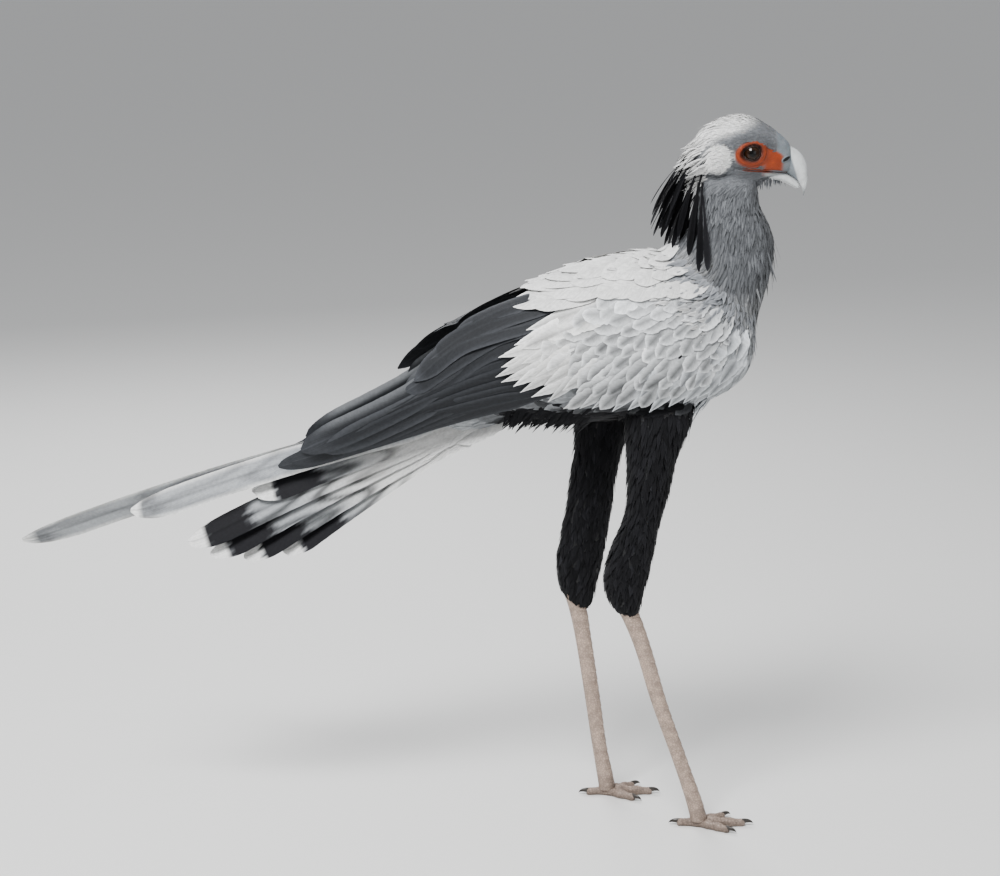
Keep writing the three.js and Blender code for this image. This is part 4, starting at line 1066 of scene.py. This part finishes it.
def build_lashes(side, word, count=17):
    long, high = EYE_OPEN
    t = np.linspace(0, 1, 6)
    lashes = []
    for share in np.linspace(0, 1, count):
        angle = math.radians(mix(28, 158, share) + rng.uniform(-2, 2))
        cos, sin = math.cos(angle), math.sin(angle)
        x, z = EYE_X + long * cos * 1.06, EYE_Z + (high * sin + 0.9 * cos) * 1.08
        start = vec(x, side * (on_eye(x, z) + 1.0), z)
        way = unit(vec(0.55 * cos - 0.15, side * 0.75, 0.35 + 0.3 * sin))
        reach = 7.5 + 2.5 * math.sin(math.pi * share) + rng.uniform(-1, 1)
        line = start + way * reach * t[:, None] + vec(0, 0, 2.2) * t[:, None] ** 2
        lashes.append(tube(line, 0.26 * (1 - 0.82 * t), 6, axis=1))
    points, faces = gather(lashes)
    dress(mesh_object("lashes_" + word, points, faces, CLAWED, at(BLACK, points)), "crest_black")


for word, side in SIDES:
    build_eye(side, word)
    build_lids(side, word)
    build_lashes(side, word)


# Bill.
def build_bill(name, rows, upper):
    section = Curve([[i, *row] for i, row in enumerate(rows)])
    steps, sides = 150, 96
    ridge_x, ridge_z, edge_x, edge_z, half = section(np.linspace(0, len(rows) - 1, steps + 1)).T[..., None]
    y, h = superellipse(half * 0.985, 0.5, turns(sides)[None], 2.3)
    rise = 0.5 + h * 0.985 + 0 * y
    taper = 1 - 0.22 * rise
    if upper:
        taper = taper * (1 - 0.10 * np.exp(-((rise - 0.12) / 0.1) ** 2))
    x, z = mix(edge_x, ridge_x, rise), mix(edge_z, ridge_z, rise)
    points, faces = capped(np.stack([x, y * taper, z], -1))
    px, _, pz = points.T
    tint = at(HORN, points)
    if upper:
        tint = mix(tint, CERE, (1 - smooth(521, 524, px + 0.35 * (pz - 930)))[:, None])
        tint = mix(tint, BILL_TIP, (0.75 * (1 - smooth(889, 902, pz)))[:, None])
    tint = mix(tint, tint * 0.82, smooth(0.4, 1, np.concatenate([rise.ravel(), [0, 0]]))[:, None])
    dress(mesh_object(name + "_horn", points, faces, HORNED, tint), "bill_horn", name)


build_bill("bill_upper", BILL_UPPER, True)
build_bill("bill_lower", BILL_LOWER, False)


def build_lips(side, word, count=60):
    """Two soft folds along the closed mouth, which leave its dark line between them."""
    parts = []
    x = np.linspace(452, 510, count)
    for offset, radius in ((1.3, 0.95), (-1.3, 0.85)):
        z = mouth_line(x)[:, 0] + offset
        y = np.array([skin_side(a, b, side) for a, b in zip(x, z)])
        y = np.convolve(np.pad(y, 3, mode="edge"), np.ones(7) / 7, mode="valid") - 0.45
        size = radius * np.sqrt(np.clip(1 - np.abs(np.linspace(-1, 1, count)) ** 5, 0.02, 1))
        parts.append(tube(np.stack([x, side * y, z], -1), size, 10, axis=0))
    points, faces = gather(parts)
    tint = mix(FACE * 0.5, CERE * 0.8, smooth(484, 500, points[:, 0])[:, None])
    dress(mesh_object("lips_" + word, points, faces, BARE, tint), "head_skin")


def build_nostril(side, word):
    """A slit painted dark as the shade inside the nostril, with a low soft rim, on the cere."""
    centre_x, centre_z, long, high, tilt = NOSTRIL
    cos, sin, turn = math.cos(tilt), math.sin(tilt), turns(40)
    rings, shades = [], []
    for share, height, dark in NOSTRIL_FOLDS:
        u, w = (
            (size + (share - 1) * 2.2 if share > 1 else size * share) * way
            for size, way in ((long, np.cos(turn)), (high, np.sin(turn)))
        )
        x, z = centre_x + u * cos - w * sin, centre_z + u * sin + w * cos
        rings.append([(a, side * (skin_side(a, b, side) + height), b) for a, b in zip(x, z)])
        # Towards the middle the rings are painted near black as shade in the opening; the patch is raised and
        # has no hole in it.
        shades.append(mix(CERE * 0.9, NOSTRIL_SHADE, dark))
    faces = grid_faces(len(rings), len(turn), ring=True)
    tint = np.repeat(np.array(shades), len(turn), 0)
    dress(mesh_object("nostril_" + word, np.array(rings).reshape(-1, 3), faces, BARE, tint), "head_skin")


for build in (build_lips, build_nostril):
    for word, side in SIDES:
        build(side, word)


# The folded wings.
def bend(points, rows):
    """Places along smooth curves through the given points, as [feather, row, (x, z)]."""
    points = np.asarray(points, float)
    key = np.linspace(0, 1, points.shape[1])
    return np.array([Curve([[k, *p] for k, p in zip(key, one)])(np.linspace(0, 1, rows)) for one in points])


def wing_paths(side, points, root_lift, lift, rows, rise=0.3):
    """Paths and normals over the folded wing for vanes through places given as x, z."""
    v = np.linspace(0, 1, rows)[None]
    x, z = np.moveaxis(bend(points, rows), -1, 0)
    angle = wing_angle(x, z)
    out = mix(np.reshape(root_lift, (-1, 1)), np.reshape(lift, (-1, 1)), np.minimum(1, v / rise))
    path = wing_point(side, x, angle, out)
    up = wing_point(side, x, angle, out + 1) - path
    return path, unit(up)


def wing_vanes(side, points, half, root_lift, lift, rows, columns, kind, tilt=0.04, roll=0.0, rise=0.3,
               **more):
    """Vanes lying over the wing. Each tilts so that its lower edge lies over the one below."""
    path, up = wing_paths(side, points, root_lift, lift, rows, rise)
    tangent = unit(np.gradient(path, axis=1))
    low = unit(np.cross(tangent, up))
    low = low * np.where(low[..., 2:3] > 0, -1, 1)
    lean = np.reshape(tilt + rng.normal(0, 1, len(path)) * roll, (-1, 1, 1))
    width = np.reshape(half, (-1, 1)) * shape_of(rows, kind)[None]
    return Vanes(path, unit(up + lean * low), np.broadcast_to(width, path.shape[:2]), columns=columns, **more)


border = Curve(COVERT_BORDER)


def inside_patch(x, z, shrink):
    """True where a place lies in the covert patch, its border drawn in by a share."""
    edge = border(np.linspace(0, 9, 60))
    edge = edge + (np.array(COVERT_CENTRE) - edge) * shrink
    edge = np.vstack([edge, [[250, 754], [330, 768], [405, 772], [452, 750], [472, 708]]])
    inside = np.zeros(len(x), bool)
    for (x0, z0), (x1, z1) in zip(edge, np.roll(edge, -1, 0)):
        crosses = (z0 > z) != (z1 > z)
        inside ^= crosses & (x < (x1 - x0) * (z - z0) / np.where(z1 == z0, 1e-9, z1 - z0) + x0)
    return inside


def spaced(count, low, high, gap):
    """Places over a rectangle, no two closer than gap."""
    tries = rng.uniform(low, high, (count, 2))
    kept = np.empty((0, 2))
    for one in tries:
        if not len(kept) or np.min(((kept - one) ** 2).sum(1)) > gap * gap:
            kept = np.vstack([kept, one])
    return kept


def patch_spot(xz):
    return np.stack([(xz[:, 0] - 60) / 460, wing_angle(xz[:, 0], xz[:, 1]) / np.pi + 0.5], -1)


def build_flight(side, word):
    """The flight feathers, the lowest first. Each lies over the one below."""
    count = len(FLIGHT)
    lift = -9 + 1.3 * np.arange(count)
    flight = wing_vanes(side, [one[:4] for one in FLIGHT], [one[4] for one in FLIGHT], lift, lift, 60, 17,
                        "long", tilt=0.05, thick=0.55, quill=0.8, camber=0.07, ragged=0.01)
    base = SLATE * rng.uniform(0.85, 1.15, (count, 1))
    tint = paint(flight, base, edge=1.7, core=0.9, shaft=1.4, vary=0.04)
    # The highest ones have a highlight painted along their upper edge as a pale fringe, stronger on the left
    # wing.
    v, s = flight.grid()
    fringe_highlight = smooth(0.3, 0.85, s * side) * smooth(0.2, 0.4, v) * (1 - smooth(0.86, 0.97, v))
    tint = mix(tint, PALE, fringe_highlight[None, ..., None] * np.reshape(FRINGE_HIGHLIGHT[side], (-1, 1, 1, 1)))
    flight.make("flight_feathers_" + word, QUILLED, tint, "wing_plumage", ("wing_" + word,))


def build_tertials(side, word):
    """The long inner feathers, a little longer on the left wing."""
    count = len(TERTIALS)
    points = np.array([one[:3] for one in TERTIALS], float) + TERTIAL_SHIFT[side]
    lift = 2.2 + 1.1 * np.arange(count)
    tertials = wing_vanes(side, points, [one[3] for one in TERTIALS], (-5, -5, -10), lift, 44, 13, "blunt",
                          tilt=0.07, thick=0.5, quill=0.7, camber=0.1, ragged=0.012)
    tint = paint(tertials, np.tile(SLATE * 1.1, (count, 1)), edge=1.8, core=0.85, shaft=1.3, vary=0.08)
    tertials.make("tertials_" + word, QUILLED, tint, "wing_plumage")


def build_coverts(side, word):
    """Greater and middle coverts along the border, long and white behind."""
    for name, inward, count, long_front, long_rear, half, lift in (
        ("greater_coverts_", 0.0, 25, 54, 104, 13, 1.4), ("middle_coverts_", 0.2, 18, 46, 84, 14, 2.2),
    ):
        share = np.linspace(0, 1, count)
        tips = border(share * 9) + rng.normal(0, 4.2, (count, 2))
        tips += (np.array(COVERT_CENTRE) - tips) * inward
        slope = np.radians(mix(64, 24, np.minimum(1, share * 1.25)) + rng.normal(0, 4, count))
        length = mix(long_front, long_rear, smooth(0.1, 0.75, share)) * rng.uniform(0.9, 1.1, count)
        roots = tips + length[:, None] * np.stack([np.cos(slope), np.sin(slope)], -1)
        roots[:, 0] = np.minimum(roots[:, 0], 456)
        coverts = wing_vanes(side, np.stack([roots, tips], 1), half * rng.uniform(0.85, 1.15, count), -2,
                             lift + rng.uniform(-0.3, 0.4, count), 26, 11, "pointed", roll=0.05,
                             thick=0.35, quill=0.3, camber=0.08, ragged=0.07)
        rear = smooth(0.35, 0.7, share)
        core = mix(0.5, 0.9, rear) * rng.uniform(0.7, 1.15, count)
        light = mix(PALE * 1.15, WHITE, rear[:, None])
        tint = paint(coverts, light, edge=1.2, core=core, shaft=0.8, vary=0.07)
        coverts.make(name + word, VANED, tint, "wing_plumage")


def build_lesser_coverts(side, word):
    """Smaller coverts over the patch, each with a grey middle and a pale rim."""
    places = spaced(9000, (120, 595), (480, 780), 15.0)
    x, z = places.T
    behind = (x < 240) & ~inside_patch(x, z, 0.36)
    before = before_shoulder(np.stack([x, x, z], -1)) < -8
    places = places[inside_patch(x, z, 0.15) & ~behind & before]
    x, z = places.T
    count = len(places)
    ahead, high = smooth(190, 430, x), smooth(640, 750, z)
    slope = np.radians(mix(24, 62, ahead * (1 - 0.6 * high)) + rng.normal(0, 9, count))
    length = (mix(58, 36, np.maximum(ahead, 0.6 * high)) * rng.uniform(0.85, 1.2, count))[:, None]
    way = np.stack([np.cos(slope), np.sin(slope)], -1)
    points = np.stack([places + way * 0.62 * length, places - way * 0.38 * length], 1)
    half = mix(13.5, 9.5, ahead) * rng.uniform(0.85, 1.15, count)
    root_lift = mix(1.0, -2.5, smooth(425, 465, points[:, 0, 0]))
    lesser = wing_vanes(side, points, half, root_lift, rng.uniform(2.9, 3.5, count), 14, 9, "blunt",
                        rise=1.0, roll=0.05, thick=0.3, quill=0.2, camber=0.08, ragged=0.12)
    light = mix(PALE, WHITE, (0.6 * smooth(280, 160, x) + 0.3)[:, None])
    # The coverts' own grey middles are painted darker still low on the front of the wing, as shade there.
    low_front_shade = smooth(775, 700, z) * smooth(160, 270, x)
    core = mix(rng.uniform(0.7, 1, count), rng.uniform(0.3, 0.55, count), low_front_shade)
    tint = paint(lesser, light, edge=1.2, core=core, shaft=0.85, vary=0.1, root=0.7)
    lesser.make("lesser_coverts_" + word, VANED, tint, "wing_plumage", spots=patch_spot(places))


def build_scapulars(side, word):
    """The pale shoulder feathers, long behind and short before."""
    for name, start, stop, rise, count, length, half, lift in SCAPULARS:
        share = np.linspace(0, 1, count)
        tips = mix(vec(*start), vec(*stop), share[:, None])
        tips[:, 1] += rise * np.sin(np.pi * share * 0.8)
        tips += rng.normal(0, 2.4, tips.shape)
        slope = np.radians(mix(30, 18, share))
        long = (length * mix(0.42, 1.05, share))[:, None]
        roots = tips + long * np.stack([np.cos(slope), np.sin(slope) * 0.8], -1)
        scapulars = wing_vanes(side, np.stack([roots, tips], 1), half * mix(0.7, 1.05, share), -2, lift, 24,
                               13, "blunt", rise=0.7, roll=0.02, thick=0.35, quill=0.25, camber=0.07,
                               ragged=0.015)
        tint = paint(scapulars, np.tile(WHITE * 0.97, (count, 1)), edge=1.03, core=0.95, shaft=0.92,
                     vary=0.04, root=0.9)
        scapulars.make(name + word, VANED, tint, "wing_plumage")


for word, side in SIDES:
    for build in (build_flight, build_tertials, build_coverts, build_lesser_coverts, build_scapulars):
        build(side, word)


# Tail feathers, from the middle pair out, with their dark band and white tip.
def free_path(root, length, pitch, sag, yaw, side, rows):
    v = np.linspace(0, 1, rows)
    drop, yaw = np.radians(pitch + sag * v), math.radians(yaw)
    level, fall = length * v * np.cos(drop), length * v * np.sin(drop)
    return vec(*root) + np.stack([-level * math.cos(yaw), side * level * math.sin(yaw), -fall], -1)


def roll_up(path, side, roll, half, lean):
    """The path moved to the middle of a rolled vane, and the vane's normals."""
    tangent = unit(np.gradient(path, axis=0))
    out = vec(0, side * math.cos(math.radians(roll)), -math.sin(math.radians(roll)))
    out = unit(out - tangent * (tangent @ out)[:, None])
    normal = unit(np.cross(tangent, out))
    normal[normal[:, 2] < 0] *= -1
    return path + out * (half * lean)[:, None], normal


def free_vanes(made, **more):
    """Vanes from a list of (path, normals, widths)."""
    return Vanes(*map(np.array, zip(*made)), **more)


def tail_tint(v, s, n, middle, length):
    """The markings of tail feather n, told by the share along it and across it."""
    left = (1 - v) * length  # distance from the tip
    wobble = 5 * np.sin(9 * s + n) + 3 * np.sin(23 * s + 2 * n)
    if middle:
        base = mix(GREY * 1.5, PALE * 0.75, smooth(0.2, 0.9, v)[..., None])
        base = mix(base, WHITE, smooth(0.72, 0.95, np.abs(s))[..., None])
    else:
        base = mix(WHITE * 0.9, PALE * 0.7, smooth(0.35, 0.7, v)[..., None])
    white, band, depth, blotched = MIDDLE_MARKS if middle else TAIL_MARKS
    blotch = 0.5 + 0.5 * np.sin(left / 15.0 + 2.6 * np.sin(3 * s + n) + 1.7 * np.sin(left / 31.0) + n)
    base = base * (1 - blotched * (blotch ** 2 * smooth(0.25, 0.5, v))[..., None])
    near = left + 0.3 * wobble
    dark = depth * smooth(white - 2, white + 3, near) * (1 - smooth(band - 8, band + 8, left + wobble))
    tone = mix(base, BLACK * 1.6, dark[..., None])
    tone = mix(tone, WHITE * 1.1, (1 - smooth(white - 4, white + 1, near))[..., None])
    return tone * (1 - 0.3 * np.exp(-(s / 0.06) ** 2))[..., None]


def build_tail(rows=60):
    made, marks = [], []
    for i, (right, left, pitch, sag, half) in enumerate(TAIL_PAIRS):
        for side, length in ((LEFT, left), (RIGHT, right)):
            root = (TAIL_ROOT[0] - 2 * i, side * (2.4 + 0.2 * i), TAIL_ROOT[1] - 3.4 * i)
            path = free_path(root, length, pitch, sag, 0.5 + 0.35 * i, side, rows)
            width = half * shape_of(rows, "long")
            made.append((*roll_up(path, side, TAIL_ROLL, width, 0.5), width))
            marks.append((len(marks), i == 0, length))
    tail = free_vanes(made, thick=0.55, camber=0.05, columns=13, quill=0.8, ragged=0.012)
    tint = np.array([tail_tint(*tail.grid(), *mark) for mark in marks])
    tail.make("tail_feathers", QUILLED, tint, "tail_plumage", ("tail",))


def build_undertail(rows=14, count=64):
    """The undertail coverts: long, loose and white."""
    made = []
    for k in range(count):
        side = LEFT if k % 2 else RIGHT
        level = rng.uniform(0, 1)
        x = mix(150, 84, level) + rng.uniform(-4, 4)
        root = (x, side * rng.uniform(1, 15) * (1 - 0.5 * level), mix(588, 573, level))
        length = rng.uniform(80, 136)
        path = free_path(root, length, mix(18, 29, rng.uniform()), 4, rng.uniform(-1, 3), side, rows)
        width = rng.uniform(8, 12) * shape_of(rows, "round")
        made.append((*roll_up(path, side, rng.uniform(48, 74), width, 0.35), width))
    coverts = free_vanes(made, thick=0.35, camber=0.14, columns=7, ragged=0.14)
    tint = paint(coverts, np.tile(WHITE, (count, 1)), edge=1.05, core=0.9, vary=0.05)
    coverts.make("undertail_coverts", VANED, tint, "tail_plumage")


build_tail()
build_undertail()


# The crest.
def build_crest(rows=26):
    made = []
    v = np.linspace(0, 1, rows)[:, None]
    for height, count, spread, back, flank, half, opening in CREST_TIERS:
        for share in np.linspace(-1, 1, count):
            aside, side = abs(share), -1 if share < 0 else 1
            root = vec(393 + 7 * aside ** 2, spread * share, height + rng.uniform(-3, 3))
            reach = [mix(back[c], flank[c], aside) + rng.uniform(-5, 5) for c in (0, 1)]
            middle = vec(root[0] + reach[0] * 0.62, root[1] * mix(1, opening, 0.6), root[2] + reach[1] * 0.36)
            tip = vec(root[0] + reach[0], root[1] * opening, root[2] + reach[1])
            path = (1 - v) ** 2 * root + 2 * v * (1 - v) * middle + v ** 2 * tip
            tangent = unit(np.gradient(path, axis=0))
            out = vec(-0.3 - 0.7 * aside, side * (1 - 0.55 * aside), 0)
            out = unit(out - tangent * (tangent @ out)[:, None])
            made.append((path, unit(np.cross(tangent, out)), half * shape_of(rows, "spoon")))
    crest = free_vanes(made, thick=0.4, camber=0.12, columns=9, quill=0.4, ragged=0.07)
    tint = paint(crest, np.tile(BLACK * 1.3, (crest.count, 1)), edge=1.5, core=0.9, vary=0.15)
    crest.make("crest_feathers", PLUMED, tint, "crest_black", ("crest",))


build_crest()


# White feathers along the ridge of the back, under the inner edges of both wings' shoulder feathers.
def build_ridge(rows=16, count=22, length=54):
    v = np.linspace(0, 1, rows)[None]
    x = np.linspace(352, 172, count)[:, None] + length * (1 - v)
    y = rng.uniform(-5, 5, (count, 1)) * v + rng.uniform(-4, 4, (count, 1))
    z = envelope(x)[..., 0] + mix(-5, 5, np.minimum(1, v / 0.8))
    path = np.stack([x, y, z], -1)
    tangent = unit(np.gradient(path, axis=1))
    up = unit(vec(0, 0, 1) - tangent * tangent[..., 2:])
    width = rng.uniform(17, 20, (count, 1)) * shape_of(rows, "blunt")[None]
    ridge = Vanes(path, up, width, thick=0.3, camber=0.1, columns=9, ragged=0.03)
    tint = paint(ridge, np.tile(WHITE * 0.95, (count, 1)), edge=1.03, core=0.95, vary=0.04)
    ridge.make("ridge_feathers", VANED, tint, "wing_plumage")


build_ridge()


# Legs.
def plates(share, low, sharp):
    """The height of overlapping scutes, each rising along its share from 0 to 1."""
    return (low + (1 - low) * share) * smooth(0, sharp, 1 - share)


def build_shank(side):
    """The lower leg, with scutes down its front and a groove on each side of the tendon behind."""
    heights = np.linspace(SHANK[side][-1][0] - 6, SHANK[side][0][0], 340)
    x, depth, width, away = Curve(SHANK[side])(heights).T[..., None]
    angle = turns(40)[None]
    cos, sin = np.cos(angle), np.sin(angle)
    a, b = superellipse(depth - 0.9, width - 0.5, angle, 2.2)
    front, rear = np.clip(cos, 0, 1) ** 0.6, np.clip(-cos, 0, 1) ** 0.8
    plate = (plates(1 - (heights / SCUTE) % 1, 0.35, 0.08) * smooth(24, 34, heights))[:, None]
    tendon = 0.7 * np.sin(np.pi * np.clip((np.abs(sin) - 0.15) / 0.5, 0, 1)) * rear
    rise = plate * front * 1.3 - tendon
    x, y = x + a + rise * cos, side * away + b + rise * sin * 0.8
    # The thin upper part of each scute, under the edge of the one above, is painted darker on the front:
    # painted shade between the scutes.
    shade = np.broadcast_to(1 - 0.35 * (1 - plate) * front, x.shape)
    return capped(np.stack([x, y, np.broadcast_to(heights[:, None], x.shape)], -1)), [*shade.ravel(), 1, 1]


def along_toe(side, heading, reach, wide, tall):
    """Rings of a toe or claw, turned to its heading and set on its foot."""
    foot_x, foot_y = FOOT[side]
    cos, sin = math.cos(heading), math.sin(heading)
    return np.stack([foot_x + reach * cos - wide * sin, side * foot_y + reach * sin + wide * cos, tall], -1)


def build_toe(side, heading, length, root_radius, tip_radius, joints):
    t = np.linspace(0, 1, 71)
    base = mix(root_radius, tip_radius, t)
    radius = base * (1 + 0.1 * np.cos(2 * np.pi * joints * t)) * round_end(1 - t + 0.02, 0.14) * 0.97
    ring = turns(24)
    upper = np.clip(np.sin(ring), 0, 1)[None]
    plate = plates((t * length / TOE_SCUTE) % 1, 0.3, 0.12)[:, None] * upper * 0.75
    base, radius = base[:, None], radius[:, None]
    grow = radius + plate * (radius / base)
    wide = grow * np.cos(ring) * 0.92
    tall = np.maximum(0.55 * base + grow * np.sin(ring) * 0.95, 0.02)
    # The underside of the toe and the thin part of each scute are painted darker: painted shade under the toe
    # and between the scutes.
    shade = [*(0.72 + 0.4 * plate + 0 * wide).ravel(), 0.8, 0.8]
    return capped(along_toe(side, heading, length * t[:, None], wide, tall)), shade


def build_claw(side, word, name, heading, length, tip_radius):
    t = np.linspace(0, 1, 31)
    reach = length - 4 + CLAW_LENGTH * 0.97 * np.sin(t * 1.35)
    height = tip_radius * 0.95 + 1.6 * np.sin(np.pi * t * 0.8) - 4.16 * t ** 2
    radius = np.maximum(CLAW_RADIUS * 0.97 * (1 - t ** 1.4), 0.3)
    height = np.maximum(height, radius + 0.5)
    ring = turns(20)
    wide = radius[:, None] * np.cos(ring) * 0.7
    tall = height[:, None] + radius[:, None] * np.where(np.sin(ring) < 0, 0.85, 1) * np.sin(ring)
    points, faces = capped(along_toe(side, heading, reach[:, None], wide, tall))
    tint = np.repeat(mix(NAIL_ROOT, NAIL_TIP, t[:, None]), len(ring), 0)
    tint = np.vstack([tint, tint[:1], tint[-1:]])
    claw = mesh_object("nail_%s_%s" % (name, word), points, faces, CLAWED, tint)
    dress(claw, "claw_horn", "claw_%s_%s" % (name, word))


def build_leg(side, word):
    made = [build_shank(side)]
    for name, turn, length, root_radius, tip_radius, joints in TOES:
        heading = -side * math.radians(turn)
        made.append(build_toe(side, heading, length, root_radius, tip_radius, joints))
        build_claw(side, word, name, heading, length, tip_radius)
    parts, shades = zip(*made)
    points, faces = gather(parts)
    tint = LEG * np.concatenate(shades)[:, None] * mix(0.8, 1.08, smooth(0, 60, points[:, 2]))[:, None]
    leg = mesh_object("leg_" + word, points, faces, SCALED, tint)
    dress(leg, "leg_scales", "shank_" + word, "foot_" + word)


for word, side in SIDES:
    build_leg(side, word)


# Floor, light and camera, in metres.
LIGHTS = [  # name, place, the height it looks at, size, power
    ("key", (-0.7, -1.7, 3.3), 0.6, 1.3, 125), ("fill", (2.4, -2.4, 1.4), 0.6, 2.2, 16),
    ("rim", (-0.8, 2.4, 2.4), 0.7, 1.6, 45),
]
CAMERA_PLACE, CAMERA_TILT, CAMERA_LENS = (0.129, -2.930, 1.243), 76.7, 78.2


def build_stage():
    bpy.ops.mesh.primitive_plane_add(size=240, location=(0, 0, -0.0005))
    floor = bpy.context.object
    floor.name = "floor"
    pale = Tree(bpy.data.materials.new("floor_pale")).finish(Base_Color=FLOOR_PALE, Roughness=0.9)
    floor.data.materials.append(pale)

    # The sky is a little darker towards the horizon, so that the floor runs out into it.
    sky = Tree(bpy.data.worlds.new("studio"), "Background")
    height = sky.add("SeparateXYZ", {0: sky.add("TexCoord")["Generated"]})["Z"]
    scene = bpy.context.scene
    scene.world = sky.finish(Color=SKY, Strength=sky.ranged(height, 0, 0.4, 0.38, 0.52))
    scene.view_settings.look = "AgX - Medium High Contrast"

    for name, place, target, size, power in LIGHTS:
        light = bpy.data.lights.new(name, "AREA")
        light.energy, light.size = power, size
        lamp = bpy.data.objects.new(name, light)
        lamp.location = place
        way = Vector((0.1, 0, target)) - Vector(place)
        lamp.rotation_euler = way.to_track_quat("-Z", "Y").to_euler()
        scene.collection.objects.link(lamp)

    camera = bpy.data.objects.new("camera", bpy.data.cameras.new("camera"))
    camera.location = CAMERA_PLACE
    camera.rotation_euler = (math.radians(CAMERA_TILT), 0, 0)
    camera.data.sensor_width, camera.data.lens = 36, CAMERA_LENS
    scene.collection.objects.link(camera)
    scene.camera = camera


build_stage()
